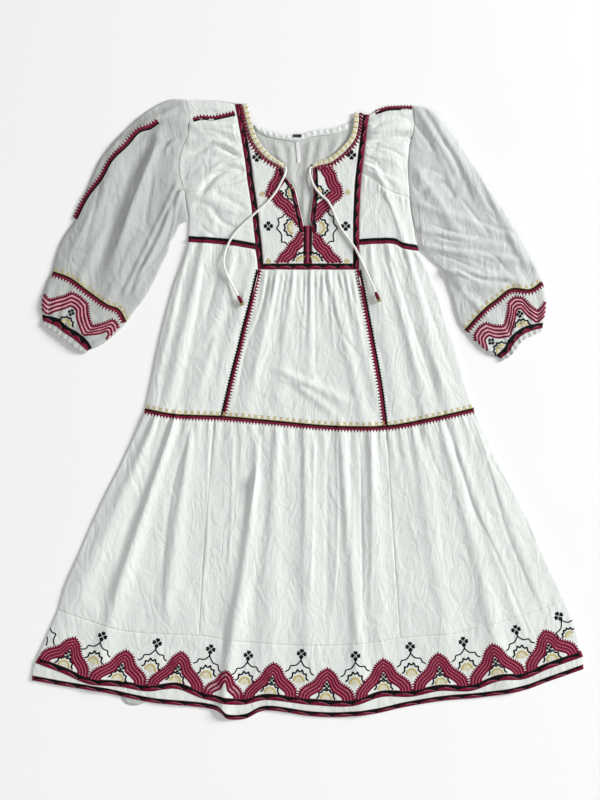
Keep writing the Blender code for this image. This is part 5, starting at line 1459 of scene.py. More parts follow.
def add_inside():
    """The gathered casing inside the back neck, and the two bare labels."""
    lower = [(-98, 523), (-82, 513), (-56, 506), (-22, 502), (9, 510), (48, 515), (76, 524)]
    patch = Patch(*strip_sides([(-101, 533)] + BACK_NECK[1:-1] + [(74, 535)], lower))
    u, v = np.meshgrid(even(180), even(10))
    plan = patch.at(u, v)
    x, y = plan[..., 0], plan[..., 1]
    depth = np.interp(v, [0.0, 0.5, 1.0], CASING_WAVE)
    wave = 0.5 - 0.5 * np.cos(2 * np.pi * CASING_GATHERS * u)
    small = 0.5 - 0.5 * np.cos(2 * np.pi * 2.7 * CASING_GATHERS * u + 1.2 * np.sin(9 * u))
    top = BACK_TOP + LAY_GAP + CASING_WALL + depth * (1.1 * wave + 0.3 * small)
    top += 0.5 * np.sin(np.pi * v) - 0.5 * np.exp(-(((v - 0.85) / 0.06) ** 2))
    places = np.stack([x, y, top], axis=-1).reshape(-1, 3)
    rows, columns = x.shape
    loop = loop_of(rows, columns)
    lip = places[loop].copy()
    lip[:, 2] = BACK_TOP + 0.25
    faces = grid_faces(rows, columns)
    ground.add(places, faces)
    faces += ring_faces(loop, range(rows * columns, rows * columns + len(loop)))
    made = add_piece("neck_casing_back_cloth", np.concatenate([places, lip]), faces, [IVORY],
                     replaces=["neck_casing_back"])
    lay_sheet(made, *patch.cut(CASING_FULL))
    label = ruled([(-28, 514), (-28, 508)], [(-12, 514), (-12, 508)])
    add_laid("neck_label", label.at(*np.meshgrid(even(12), even(6))), LABEL_DARK,
             0.8, turned=2.2)
    care = ruled([(-24, 500), (-22, 480), (-21, 460)], [(-17, 500), (-15, 480), (-14, 460)])
    add_laid("care_label", care.at(*np.meshgrid(even(6), even(20))), LABEL_PALE, 0.8)


LABEL_DARK = woven("label_dark_weave", (0.03, 0.032, 0.036), 0.2, pitch=0.0006, crinkle=0.1)
LABEL_PALE = woven("label_pale_satin", (0.80, 0.80, 0.79), 0.03, pitch=0.0006, crinkle=0.1)
add_inside()


THREADS = {
    # colour: material, slot
    "pink": (PINK, "crimson_trim"),
    "rose": (ROSE, "crimson_trim"),
    "crimson": (CRIMSON, "crimson_trim"),
    "black": (BLACK, "black_trim"),
    "pale": (PALE, "embroidered_cloth"),
    "gold": (GOLD, "embroidered_cloth"),
}
HEADING_STEP = 0.8        # how far before and after a place a path's direction is read
LINE = 4.6                # width of a line of the arches and zigzags
LINE_PITCH = 5.5          # from one line to the next
LINE_STEP = 2.4           # length of a line's cells
ZIGZAG_IN = 2.0           # of a zigzag's first line from its path
ZIGZAG_SWAY = (1.3, 26.0)  # height and length of its waves
PINK_LOW = 0.3            # height of the thread between two lines
PICOT_PITCH = 4.6
BLOCK_PITCH = 5.2         # of the neck binding's blocks and the placket's rings
TOPSTITCH_PITCH = 7.0
DOT_PITCH = 6.4           # of the diamonds and teeth beside the binding
TRIM_BLACK = (-0.9, 3.4, 0.5)      # of a seam's trim: place beside the seam, width, height
TRIM_CRIMSON = (2.8, 4.4, 0.45)
TRIM_GOLD = (3.0, 1.3, 0.4)
TRIM_TEETH = (4.4, 5.94)           # place beside the seam, pitch
TRIM_CROSSES = (7.0, 12.0, 5.6, 1.9)   # place beside the seam, pitch, size, width
RIBBON_STEP = 1.6         # of a two-colour ribbon's border
RIBBON_SHARES = (0.0, 0.2, 0.5, 0.8, 1.0)
RIBBON_LIFTS = np.array([0.1, 0.3, 0.34, 0.3, 0.2])
SCALLOP = (0.88, 0.48)    # how far across the black reaches at a scallop's ends, and less inside it
SCALLOP_LIT = 0.62        # share of a scallop that its pink line follows
SLIT_RIBBON = 9.0         # width of the ribbons beside the slit
SLIT_SHARES = (0.0, 0.1, 0.25, 0.5, 0.8, 1.0)
SLIT_LIFTS = (0.25, 0.4, 0.4, 0.4, 0.4, 0.2)
CUFF_SHARES = (0.0, 0.2, 0.4, 0.6, 0.8, 1.0)
CUFF_LIFTS = (0.3, 0.5, 0.6, 0.7, 0.8, 0.8)
WAIST_SHARES = (0.0, 0.5, 1.0)
WAIST_LIFTS = (0.2, 0.34, 0.15)
OUTLINE = 3.1             # width of the black outlines
OUTLINE_STEP = 1.3
CUSP_LINE = 2.5           # width of the outlines that meet in points
CUSP_SAG = 0.18           # how far their arcs bow, as a share of each arc's length
FAN_PETAL = (0.1, 0.46, 0.62)   # foot, widest place and tip of a fan's petal, as shares of its radius
FAN_ARC = (0.67, 0.26)    # radius and width of its gold arc
FAN_RIM = (0.98, 0.2)     # radius and teeth of its outline

# Outlines of small teeth: shares of half their width and of their length
TOOTH = ((-1, 0), (0, 0), (1, 0), (0.45, 0.5), (0, 1), (-0.45, 0.5))
PICOT = ((-1, 0), (1, 0), (0.95, 0.7), (0.55, 1), (-0.55, 1), (-0.95, 0.7))
TOOTH_BASE, PICOT_BASE = 0.86, 0.66   # shares of their pitch that they fill
# Outline of a floret's petal, along it and across, as shares of the floret's size
PETAL = ((0.04, 0.0), (0.27, 0.23), (0.5, 0.14), (0.44, 0.0), (0.5, -0.14), (0.27, -0.23))


class Embroidery:
    """The stitching of one region, a mesh for each colour."""

    def __init__(self, region):
        self.region = region
        self.of = {colour: Stitches() for colour in THREADS}

    def make(self):
        """Lay every colour on the cloth."""
        for colour, stitches in self.of.items():
            if stitches.plan:
                stitches.make(self.region + "_" + colour + "_stitching", *THREADS[colour])

    def teeth(self, colour, path, pitch, length, shape=TOOTH, base=TOOTH_BASE):
        """Small teeth to the left of a path; a negative length puts them on its right."""
        for place, ahead, side in spaced(path, pitch):
            half, rise = ahead * pitch * base / 2, side * length
            self.of[colour].blob([place + half * a + rise * b for a, b in shape], 0.42)

    def crosses(self, colour, path, pitch, size, width):
        """Small slanting crosses along a path."""
        for place, ahead, side in spaced(path, pitch):
            for turn in (1.0, -1.0):
                arm = (ahead + turn * side) * size * 0.5
                self.of[colour].line([place - arm, place, place + arm], width, 0.45, 1.2)

    def diamonds(self, colour, path, pitch, start, long, wide):
        """Small diamonds along a path."""
        for place, ahead, side in spaced(path, pitch, start):
            self.of[colour].blob([place - ahead * long, place - side * wide, place + ahead * long,
                                  place + side * wide], 0.62)

    def floret(self, colour, place, up, size):
        """Four kite petals in a cross."""
        place, up = np.array(place, float), np.array(up, float)
        side = np.array([up[1], -up[0]])
        for along, across in ((up, side), (side, up), (-up, side), (-side, up)):
            self.of[colour].blob([place + (along * a + across * b) * size for a, b in PETAL])

    def fan(self, place, up, radius, tall, spread, petals):
        """Half a flower: pale petals under a gold arc, with a toothed black line round it."""
        place, up = np.array(place, float), np.array(up, float)
        side = np.array([up[1], -up[0]])

        def polar(angle, share):
            reach = share * radius
            return place + side * math.sin(angle) * reach + up * math.cos(angle) * reach * tall

        limit = math.radians(spread)
        foot, widest, tip = FAN_PETAL
        half = 0.92 * limit / petals
        for k in range(petals):
            angle = -limit + 2 * limit * (k + 0.5) / petals
            self.of["pale"].blob([polar(angle, foot), polar(angle - half, widest), polar(angle, tip),
                                  polar(angle + half, widest)], 0.4)
        arc = [polar(angle, FAN_ARC[0]) for angle in np.linspace(-limit, limit, 17)]
        self.of["gold"].line(arc, FAN_ARC[1] * radius, 0.5, 1.6)
        at = np.linspace(-limit, limit, 61)
        teeth = FAN_RIM[0] + FAN_RIM[1] * (1.0 - np.abs(np.sin((at / limit + 1.0) * math.pi * 2.5)))
        self.of["black"].line([polar(*spot) for spot in zip(at, teeth)], OUTLINE, 0.5, OUTLINE_STEP)

    def cusped(self, points, centre):
        """A black outline in arcs that bow towards a centre and meet in points."""
        points, centre = np.asarray(points, float), np.asarray(centre, float)
        for first, last in zip(points, points[1:]):
            inward = centre - (first + last) / 2
            inward *= CUSP_SAG * np.linalg.norm(last - first) / np.linalg.norm(inward)
            arc = curve_through([first, (first + last) / 2 + inward, last], even(16))
            self.of["black"].line(arc, CUSP_LINE, 0.45, OUTLINE_STEP)

    def lines(self, path, count, place):
        """Parallel crimson lines to the right of a path, pink between them, picots on its left."""
        threads = (("crimson", LINE, 0.5), ("pink", LINE_PITCH - LINE + 0.7, PINK_LOW))
        for k in range(2 * count - 1):
            colour, width, height = threads[k % 2]
            for line in place(parallel(path, -(ZIGZAG_IN + k * LINE_PITCH / 2))):
                self.of[colour].line(line, width, height, LINE_STEP)
        for line in place(resampled(path, 1.0)):
            self.teeth("crimson", line, PICOT_PITCH, 3.6, PICOT, PICOT_BASE)

    def arch(self, paths, place, thread="pink", width=LINE, gap=1.6):
        """Nested crimson lines from the outermost in, a thread between them, picots outside."""
        for path in paths:
            for line in place(path):
                self.of["crimson"].line(line, width, 0.5, LINE_STEP)
        for outer, inner in zip(paths, paths[1:]):
            for line in place((outer + inner) / 2):
                self.of[thread].line(line, gap, PINK_LOW, LINE_STEP)
        for line in place(paths[0]):
            self.teeth("crimson", parallel(line, width * 0.35), PICOT_PITCH, 3.4, PICOT, PICOT_BASE)

    def two_tone(self, dark_edge, light_edge, period, flip=False, over=0.0):
        """The black half of a two-colour ribbon, its border a row of leaning scallops."""
        dark_edge = resampled(dark_edge, RIBBON_STEP)
        across = resampled(light_edge, count=len(dark_edge)) - dark_edge
        run = run_along(dark_edge)
        phase = (run / period) % 1.0
        if flip:
            phase = 1.0 - phase
        share = SCALLOP[0] - SCALLOP[1] * np.sin(np.pi * phase ** 0.8) ** 0.75
        border = dark_edge + across * share[:, None]
        rows = between(dark_edge + across * 0.03, border, RIBBON_SHARES)
        self.of["black"].rows(rows, RIBBON_LIFTS + over, run)
        lit = border + across * 0.05
        count = int(SCALLOP_LIT * period / RIBBON_STEP)
        for first in np.flatnonzero(np.diff(np.floor(run / period)) > 0).tolist() + [0]:
            piece = lit[first + 2: first + 2 + count] if flip else lit[max(first - count, 0): first]
            if len(piece) > 3:
                self.of["pink"].line(piece, 0.9, 0.36 + over, 2.0, taper=True)


def spaced(path, pitch, start=0.5):
    """Places at even steps along a path, with its direction and its left there."""
    path = np.asarray(path, float)
    run = run_along(path)
    count = max(1, int(round(run[-1] / pitch)))
    for k in range(count):
        at = (k + start) * run[-1] / count
        before, place, after = (np.array([np.interp(at + step, run, path[:, c]) for c in (0, 1)])
                                for step in (-HEADING_STEP, 0.0, HEADING_STEP))
        ahead = towards(before, after)
        yield place, ahead, np.array([-ahead[1], ahead[0]])


def resampled(path, step=None, count=None):
    """A path with evenly spaced places."""
    path = np.asarray(path, float)
    run = run_along(path)
    count = count or max(3, int(round(run[-1] / step)) + 1)
    at = np.linspace(0.0, run[-1], count)
    return np.stack([np.interp(at, run, path[:, k]) for k in (0, 1)], axis=1)


def parallel(path, distance):
    """A line beside a path at a distance, its tight loops dropped."""
    path = resampled(path, 1.0)
    moved = offset_line(path, distance)
    gap = np.min(np.linalg.norm(moved[:, None, :] - path[None, :, :], axis=2), axis=1)
    kept = moved[gap > abs(distance) * 0.97 - 0.05]
    return kept if len(kept) > 3 else moved


def waved(path, height, length):
    """A path that sways from side to side."""
    return path + left_of(path) * (height * np.sin(2 * np.pi * run_along(path) / length))[:, None]


def stretches(line, keep):
    """The stretches of a line whose places are kept."""
    pieces = np.split(np.arange(len(line)), np.flatnonzero(np.diff(keep)) + 1)
    return [line[piece] for piece in pieces if keep[piece[0]] and len(piece) > 4]


PLACKET_SIDES = (-8.5, 7.5)
LINES_FOOT, LINES_TOP = BIB_FOOT + 0.8, 453    # y where the bib's lines end


def on_bib(line):
    """The stretches of a line between the slit's ribbons or the placket and the bib's edges."""
    x, y = line[:, 0], line[:, 1]
    left = side_x(BIB_LEFT_SLIT, y) - SLIT_RIBBON
    right = side_x(BIB_RIGHT_SLIT, y) + SLIT_RIBBON
    beside = np.where(y > SLIT_FOOT, (x < left) | (x > right),
                      (x < PLACKET_SIDES[0]) | (x > PLACKET_SIDES[1]))
    return stretches(line, beside & (y > LINES_FOOT) & (y < LINES_TOP))


def stitch_bib():
    """Lines, fans and florets of the bib, its slit, bands, placket and binding."""
    work = Embroidery("bib")
    zigzags = [
        # way that the picots look, places from the top
        (-1.0, [(-50, 462), (-80, 402), (-5, 330)]),
        (-1.0, [(-5, 343), (-70, 263)]),
        (1.0, [(38, 470), (44, 452), (66, 402), (0, 334)]),
        (1.0, [(2, 345), (72, 263)]),
    ]
    for way, zigzag in zigzags:
        path = waved(resampled(zigzag, 1.0), *ZIGZAG_SWAY)
        work.lines(path if way > 0 else path[::-1], 4, on_bib)
    florets = [
        # colour, size, places
        ("black", 18.5, [(-95.9, 470.5), (81.6, 474.5), (-74.3, 341.2), (70.7, 341.2)]),
        ("black", 12.5, [(-50.5, 402.8), (36.0, 404.0)]),
        ("gold", 11.0, [(-86.5, 401.2), (74.5, 404.8), (-74.0, 275.5), (73.0, 275.5)]),
    ]
    for colour, size, places in florets:
        for place in places:
            work.floret(colour, place, (0, 1), size)
    work.fan((-27, 404), (-1, 0), 13.5, 1.0, 80, 5)
    work.fan((15, 405), (1, 0), 12.5, 1.0, 80, 5)
    for x, way in ((-27.0, -1.0), (20.0, 1.0)):
        work.fan((x, 338.5), (way, 0), 16.0, 1.0, 84, 7)
        work.fan((way * 9.5 - 0.5, 273.0), (way * 0.5, 0.87), 17.0, 1.0, 52, 5)
    work.cusped([(-44.5, 364), (-56.5, 355.6), (-59.2, 336.7), (-49.5, 311.5), (-38, 305.5)], (-27, 338.5))
    work.cusped([(36.5, 370), (48.5, 358.7), (55.4, 337.8), (48.5, 312.6), (37, 308.5)], (20, 338.5))
    for edge, way in ((BIB_LEFT_SLIT[4:], 1.0), (BIB_RIGHT_SLIT[5:], -1.0)):
        slit = np.array([(x, y) for x, y in edge if y >= SLIT_FOOT] + [(way * -6.0, SLIT_FOOT - 12)], float)
        slit = resampled(slit, 1.6) - np.array([way * 0.9, 0.0])
        inside = slit - np.array([way * SLIT_RIBBON, 0.0])
        work.of["crimson"].rows(between(slit, inside, SLIT_SHARES), SLIT_LIFTS)
        work.two_tone(inside, slit, 26.0, over=0.35)
    left, right, foot = (PANELS["bib_band_" + end] for end in ("left", "right", "bottom"))
    work.two_tone(left.right.line, left.left.line, 27.0)
    work.two_tone(right.left.line, right.right.line, 27.0, flip=True)
    work.two_tone(foot.top.line, foot.bottom.line, 28.0)
    placket = PANELS["placket"]
    for share in (0.12, 0.88):
        work.of["black"].line(placket.at(share, even(40)), 3.2, 0.5)
    for place, ahead, side in spaced(placket.at(0.5, even(40)), BLOCK_PITCH):
        ring = [place + ahead * 2.3 * math.cos(a) + side * 1.3 * math.sin(a)
                for a in np.linspace(0, 2 * math.pi, 11)]
        work.of["pink"].line(ring, 0.8, 0.5, 0.9)
    stitch_binding(work, PANELS["neck_binding_left"], -1.0)
    stitch_binding(work, PANELS["neck_binding_right"], 1.0)
    for band in (PANELS["waist_band_left"], PANELS["waist_band_right"]):
        high, low = band.at(even(150), 0.5), band.at(even(150), 0.97)
        work.of["crimson"].rows(between(high, low, WAIST_SHARES), WAIST_LIFTS)
    work.make()


def stitch_binding(work, patch, way):
    """Gold and pale blocks on a neck binding, with a toothed and dotted line beside its seam."""
    for k, (place, ahead, side) in enumerate(spaced(patch.at(0.5, even(200)), BLOCK_PITCH)):
        half, wide = ahead * 2.5, side * (4.3 if k % 2 else 3.4)
        work.of["gold" if k % 2 else "pale"].blob([place - half - wide, place + half - wide,
                                                   place + half + wide, place - half + wide], 0.45)
    seam = patch.at(0.0, even(200))
    row = parallel(seam, 2.9 * way)
    work.of["crimson"].line(row, 5.0, 0.45)
    work.teeth("crimson", parallel(seam, 5.0 * way), DOT_PITCH, 7.2 * way)
    work.diamonds("pale", row, DOT_PITCH, 0.7, 0.9, 1.3)
    work.diamonds("black", row, DOT_PITCH, 0.2, 1.5, 1.4)


def trim(work, seam, side, tooth, cross_side=None):
    """A black line with crimson teeth on one side of a seam, and gold crosses on the other."""
    seam = resampled(seam, 1.5)

    def line(colour, way, place, width, height):
        work.of[colour].line(parallel(seam, place * way), width, height)

    line("black", side, *TRIM_BLACK)
    line("crimson", side, *TRIM_CRIMSON)
    place, pitch = TRIM_TEETH
    work.teeth("crimson", parallel(seam, place * side), pitch, tooth * side)
    if cross_side is not None:
        place, *sizes = TRIM_CROSSES
        work.crosses("gold", parallel(seam, place * cross_side), *sizes)
        line("gold", cross_side, *TRIM_GOLD)


def stitch_skirt():
    """The trims beside the centre panel and along the waist seam, and two topstitched lines."""
    work = Embroidery("skirt")
    seams = [(curve_through(seam[1:], even(200), True), side)
             for seam, side in ((YOKE_SEAM_LEFT, 1.0), (YOKE_SEAM_RIGHT, -1.0))]
    for seam, side in seams:
        trim(work, seam, side, 6.5)
    for seam, side in seams:
        work.teeth("black", parallel(seam, -1.6 * side), 5.6, -3.4 * side)
    trim(work, curve_through(WAIST_SEAM, even(400)), -1.0, 5.5, 1.0)
    topstitched = [
        # width, places
        (0.7, [(-179, -53), (-190, -180), (-198, -306), (-204, -415)]),
        (0.8, [(142.5, -50), (160, -240), (172, -427)]),
    ]
    for width, route in topstitched:
        for place, ahead, _ in spaced(curve_through(route, even(100)), TOPSTITCH_PITCH):
            work.of["pale"].line([place - ahead * 1.8, place, place + ahead * 1.8], width, 0.3, 1.2)
    work.make()


# X of each foot of the hem's arches, on its upper ribbon
ARCH_FEET = (-508, -414.5, -305, -197, -124, -21, 87.5, 197, 304, 410, 511)
# One side of an arch's outermost and innermost lines: share of the half span, height
ARCH_OUTER = [(0.93, 5), (0.9, 18), (0.75, 27), (0.42, 38), (0.25, 54), (0.0, 63)]
ARCH_INNER = [(0.61, 5), (0.58, 11), (0.47, 15.5), (0.2, 24), (0.1, 38), (0.0, 44.5)]
# The same for the cuffs' arches, whose feet stand higher
CUFF_OUTER = [(1.0, 28), (0.8, 33), (0.52, 45), (0.32, 59), (0.0, 62)]
CUFF_INNER = [(0.98, 3), (0.72, 11), (0.46, 20), (0.28, 29), (0.16, 39), (0.0, 41)]
CUFF_DRAWN = 84.0         # depth of the wrist band that those heights are for
# Where along each cuff its arches' feet stand, as shares of its width
CUFF_FEET = {"left": (-0.5, 0.11, 0.74, 1.12), "right": (-0.4, 0.12, 0.6, 1.12)}
RIBBON_UP, RIBBON_DOWN = 5.5, 5.0    # a cuff ribbon's reach either side of the seam
WHOLE_ARCH = 90.0         # an arch narrower than this has fewer lines and holds no fan


def arch_paths(left, right, count, tall, outline=(ARCH_OUTER, ARCH_INNER)):
    """The nested lines of an arch between two feet, outermost first, as (x, height) places."""
    outer, inner = (resampled(line, count=60) for line in outline)
    paths = []
    for share in np.linspace(0.0, 1.0, count):
        side = outer + (inner - outer) * share
        half = np.column_stack([side[:, 0] * (right - left) / 2, side[:, 1] * tall])
        middle = np.array([(left + right) / 2, 0.0])
        paths.append(np.concatenate([middle - half * (1, -1), (middle + half)[-2::-1]]))
    return paths


def stitch_hem():
    """Arches, fans, florets and outlines over the hem's ribbons, and the ribbons' black halves."""
    work = Embroidery("hem")
    for left, right in zip(ARCH_FEET, ARCH_FEET[1:]):
        whole = right - left > WHOLE_ARCH
        count, tall = (4, 1.0) if whole else (3, 0.86)
        work.arch(arch_paths(left, right, count, tall), lambda line: [hem.at(line[:, 0], line[:, 1])])
        if whole:
            middle = (left + right) / 2
            base, top = hem.at(middle, [6.5, 30.0])
            up = towards(base, top)
            work.fan(base, up, 15.0, 1.12, 88, 7)
            work.floret("black", hem.at(middle, 31.5), up, 14.0)
    for x in ARCH_FEET[1:-1]:
        base, top = hem.at(x, [30.0, 60.0])
        up = towards(base, top)
        work.fan(base, up, 16.0, 1.5, 72, 7)
        work.of["black"].line(hem.at(x, np.linspace(73, 82, 8)), OUTLINE, 0.45)
        work.floret("black", hem.at(x, 88.0), up, 19.0)
        for way in (1.0, -1.0):
            work.cusped(hem.at([x, x + way * 19, x + way * 28], [75, 62.5, 50]), base)
    # What shows of the next fans at the folded sides
    work.fan((494, -431), (-0.6, 0.8), 14.5, 1.2, 60, 5)
    work.floret("black", (470.4, -390.7), (-0.55, 0.835), 19.0)
    work.of["black"].line([(475.7, -398.7), (472.9, -394.2)], OUTLINE, 0.45)
    work.cusped([(496.5, -398.5), (475.7, -398.7), (464.9, -423), (469.3, -433.5)], (496, -430))
    work.cusped([(-484, -413.5), (-472.8, -423.7), (-475.5, -445.5)], (-505, -450))
    work.of["black"].line([(-489.5, -429.5), (-489, -437), (-491.5, -446)], CUSP_LINE, 0.45)
    x = RIBBON_X[2:-2]
    work.two_tone(hem.at(x, 5.9), hem.at(x, -5.9), 40.0)
    work.two_tone(lower_ribbon[0][2:-2], lower_ribbon[-1][2:-2], 41.0)
    work.make()


def stitch_sleeves():
    """Trims, arches and fans of the wrist bands, cuff ribbons, and the shoulder trims."""
    work = Embroidery("sleeve")
    inside = even(160) * 0.98 + 0.01
    for side, way in (("left", 1.0), ("right", -1.0)):
        patch, cuff = WRISTS[side], CUFFS[side]
        trim(work, patch.at(inside, 0.0), -way, 6.5, way)
        deep, cuff_deep = ((p.left.length + p.right.length) / 2 for p in (patch, cuff))
        wide = (patch.top.length + patch.bottom.length) / 2

        def place(u, depth):
            """Places at shares across the wrist and a depth below the trim, on to the cuff."""
            u, depth = np.broadcast_arrays(u, depth)
            band = patch.at(u, np.clip(depth / deep, 0.0, 1.0))
            below = cuff.at(u, np.clip((depth - deep) / cuff_deep, 0.0, 1.0))
            return np.where(depth[..., None] > deep, below, band)

        def on_band(line):
            """A line in the band's millimetres, cut where the band folds under, on the cloth."""
            u, depth = line[:, 0] / wide, deep - RIBBON_UP - line[:, 1]
            pieces = stretches(np.column_stack([u, depth]), (u > 0.02) & (u < 0.98))
            laid = [place(piece[:, 0], piece[:, 1]) for piece in pieces]
            return laid if way > 0 else [piece[::-1] for piece in laid]

        high, low = place(inside, deep - RIBBON_UP), place(inside, deep + RIBBON_DOWN)
        work.of["crimson"].rows(between(high, low, CUFF_SHARES), CUFF_LIFTS)
        work.two_tone(high, low, 24.0, over=0.95)
        for left, right in zip(CUFF_FEET[side], CUFF_FEET[side][1:]):
            paths = arch_paths(left * wide, right * wide, 4, deep / CUFF_DRAWN,
                               (CUFF_OUTER, CUFF_INNER))
            work.arch(paths, on_band, "rose", 4.2, 2.5)
            middle = (left + right) / 2
            if 0.1 < middle < 0.9:
                base, top = place([middle, middle], [deep - RIBBON_UP - 1.0, deep - 40.0])
                up = towards(base, top)
                work.fan(base, up, 13.5, 1.0, 84, 5)
                work.floret("black", base + up * 25.0, up, 14.0)
    trims = [
        # way that the teeth look, their length, cells, places of the line
        (-1.0, 5.0, 60, [(-137, 551), (-177, 542), (-199, 543), (-215, 539)]),
        (-1.0, 6.0, 160, [(-280, 535), (-296, 525), (-316, 518), (-341, 491), (-367, 465), (-387, 430),
                          (-413, 397), (-435, 355)]),
        (1.0, 3.5, 60, [(127, 553), (148, 560), (174, 562), (196, 562)]),
    ]
    for way, tooth, cells, route in trims:
        trim(work, curve_through(route, even(cells)), way, tooth)
    work.make()


stitch_bib()
stitch_skirt()
stitch_hem()
stitch_sleeves()


def smooth_route(route, step):
    """A cord's centre places, evenly spaced along a smooth curve through its route."""
    return curve_through(route, even(round(length_of(np.array(route)) / step)))


def tube_along(places, radii, sides, twist=0.0, depth=0.0, strands=3):
    """Rings round a path; strands of a twisted cord show as raised ridges."""
    places = np.asarray(places, float)
    ahead = np.gradient(places, axis=0)
    ahead /= np.linalg.norm(ahead, axis=1)[:, None]
    side = np.cross(ahead, UP)
    side /= np.linalg.norm(side, axis=1)[:, None]
    over = np.cross(side, ahead)
    run = run_along(places)
    angle = np.linspace(0.0, 2 * np.pi, sides, endpoint=False)
    ridge = 1.0 + depth * np.abs(np.sin(strands * (angle[None, :] - twist * run[:, None]) / 2))
    radius = np.broadcast_to(radii, len(places))[:, None] * ridge
    rings = (places[:, None, :] + side[:, None, :] * (np.cos(angle)[None, :] * radius)[..., None]
             + over[:, None, :] * (np.sin(angle)[None, :] * radius)[..., None])
    numbers = [range(i * sides, (i + 1) * sides) for i in range(len(places))]
    faces = [face for near, far in zip(numbers, numbers[1:]) for face in ring_faces(near, far)]
    uvs = np.stack(np.broadcast_arrays(run[:, None], (angle * 2.0)[None, :]), axis=-1).reshape(-1, 2)
    faces.append(tuple(numbers[0])[::-1])
    faces.append(tuple(numbers[-1]))
    return rings.reshape(-1, 3), faces, uvs


def joined(parts):
    """Several meshes as one list of places, faces and UVs, with a material pick each."""
    places, faces, uvs, picks = [], [], [], []
    for part_places, part_faces, part_uvs, pick in parts:
        start = sum(len(p) for p in places)
        places.append(np.asarray(part_places))
        uvs.append(np.asarray(part_uvs))
        faces.extend([tuple(start + k for k in face) for face in part_faces])
        picks.extend([pick] * len(part_faces))
    return np.concatenate(places), faces, np.concatenate(uvs), picks


CORD_COTTON = satin("cord_cotton", (0.80, 0.80, 0.77), 0.06, depth=0.3, roughness=0.8)
TASSEL_CRIMSON = satin("tassel_crimson", CRIMSON_THREAD, 0.2, depth=0.8)
TASSEL_GOLD = satin("tassel_gold", GOLD_THREAD, 0.15)


def add_tassel(side, route):
    """A wound crimson head with a narrow collar, and loose strands whose tips are gold."""
    heading = np.array(route[-1], float) - np.array(route[-2], float)
    heading[2] = 0.0
    heading /= np.linalg.norm(heading)
    start = np.array(route[-1], float) + heading * LAY_GAP
    foot = start + heading * TASSEL_HEAD
    across = np.cross(heading, UP)
    at = np.linspace(0.0, 1.0, 34)
    profile = np.interp(at, (0.0, 0.04, 0.12, 0.2, 0.24, 0.3, 0.36, 0.55, 0.8, 1.0),
                        (1.3, 2.1, 2.6, 2.7, 2.3, 2.3, 2.8, 3.2, 3.25, 3.0))
    windings = 0.1 * np.sin(2 * np.pi * at * 12)
    core = start + np.outer(at, foot - start)
    head = tube_along(core, profile + windings, 20, twist=0.2, depth=0.07, strands=16)
    parts = [(*head, 0)]
    rng = np.random.default_rng(5 if side == "left" else 9)
    for k in range(STRANDS):
        angle = 2 * np.pi * (k * GOLDEN)
        ring = 2.9 * math.sqrt((k + 0.5) / STRANDS)
        push = across * math.cos(angle) + UP * math.sin(angle) * 0.85
        reach = STRAND_LENGTH * (0.82 + 0.22 * rng.random())
        sway = across * rng.uniform(-0.8, 0.8)
        line = [foot - heading * 2.0 + push * ring * 0.8, foot + push * ring * 0.95,
                foot + heading * reach * 0.5 + push * ring * 1.15 + sway * 0.4,
                foot + heading * reach + push * ring * 1.25 + sway]
        places = curve_through(line, even(7))
        radii = np.array([0.42, 0.42, 0.4, 0.4, 0.38, 0.36, 0.32, 0.24])
        parts.append((*tube_along(places[:5], radii[:5], 6), 0))
        parts.append((*tube_along(places[4:], radii[4:], 6), 1))
    places, faces, uvs, picks = joined(parts)
    return add_piece("tassel_" + side + "_threads", places, faces, [TASSEL_CRIMSON, TASSEL_GOLD], uvs,
                     picks, replaces=["tassel_" + side])


def add_cord(side, route):
    """A drawcord twisted from three strands, with its tassel."""
    tassel = add_tassel(side, route)
    centre = smooth_route(route, 1.2)
    places, faces, uvs = tube_along(centre, CORD_DIAMETER / 2 * 0.9, 24, twist=0.5, depth=0.14)
    made = add_piece("drawcord_" + side + "_twist", places, faces, [CORD_COTTON], uvs,
                     replaces=["drawcord_" + side])
    coarse = smooth_route(route, CORD_STEP)


add_cord("left", CORD_LEFT)
add_cord("right", CORD_RIGHT)


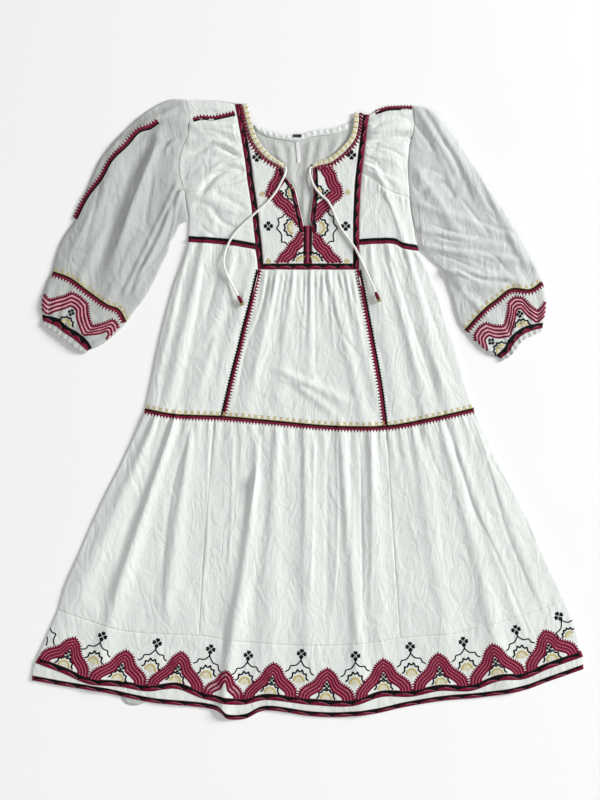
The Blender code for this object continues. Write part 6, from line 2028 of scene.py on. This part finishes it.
# Studio and camera, in metres
FLOOR_REACH = 4.0
FLOOR_GAP = 0.0004        # of the floor under the dress
PIXEL = 0.00188           # size of one of the photograph's pixels on the dress
FRAME_HEIGHT = 800 * PIXEL
CAMERA_OVER = (-8 * PIXEL, 8 * PIXEL)   # the middle of the frame
CAMERA_HEIGHT = 2.4
SENSOR = 36.0             # in millimetres


def add_studio():
    """A white floor and soft light from the upper right."""
    mesh = bpy.data.meshes.new("floor")
    corners = [(x * FLOOR_REACH, y * FLOOR_REACH, -FLOOR_GAP)
               for x, y in ((-1, -1), (1, -1), (1, 1), (-1, 1))]
    mesh.from_pydata(corners, [], [(0, 1, 2, 3)])
    floor = bpy.data.objects.new("floor", mesh)
    bpy.context.scene.collection.objects.link(floor)
    paper = new_material("paper", 0.9, 0.1)
    mottled(paper, (0.93, 0.93, 0.93), 0.004, 3.0)
    mesh.materials.append(paper)
    lights = [
        # name, place, size, power
        ("key", (7.6, 3.0, 3.9), 3.4, 1070.0),
        ("fill", (-3.8, -1.6, 3.8), 3.0, 56.0),
        ("foot", (-0.8, -4.4, 3.8), 3.0, 56.0),
    ]
    for name, place, size, power in lights:
        data = bpy.data.lights.new(name, "AREA")
        data.shape = "SQUARE"
        data.size = size
        data.energy = power
        lamp = bpy.data.objects.new(name, data)
        lamp.location = place
        lamp.rotation_euler = (-Vector(place)).to_track_quat("-Z", "Y").to_euler()
        bpy.context.scene.collection.objects.link(lamp)
    world = bpy.data.worlds.new("studio")
    world.use_nodes = True
    sky = world.node_tree.nodes["Background"].inputs
    sky["Color"].default_value = (1.0, 1.0, 1.0, 1.0)
    sky["Strength"].default_value = 0.25
    bpy.context.scene.world = world
    bpy.context.scene.view_settings.view_transform = "Standard"


def add_camera():
    """Straight above the dress, framed as in the photo."""
    data = bpy.data.cameras.new("camera")
    camera = bpy.data.objects.new("camera", data)
    camera.location = (*CAMERA_OVER, CAMERA_HEIGHT)
    data.sensor_fit = "VERTICAL"
    data.sensor_height = SENSOR
    data.lens = SENSOR * CAMERA_HEIGHT / FRAME_HEIGHT
    bpy.context.scene.collection.objects.link(camera)
    bpy.context.scene.camera = camera


add_studio()
add_camera()
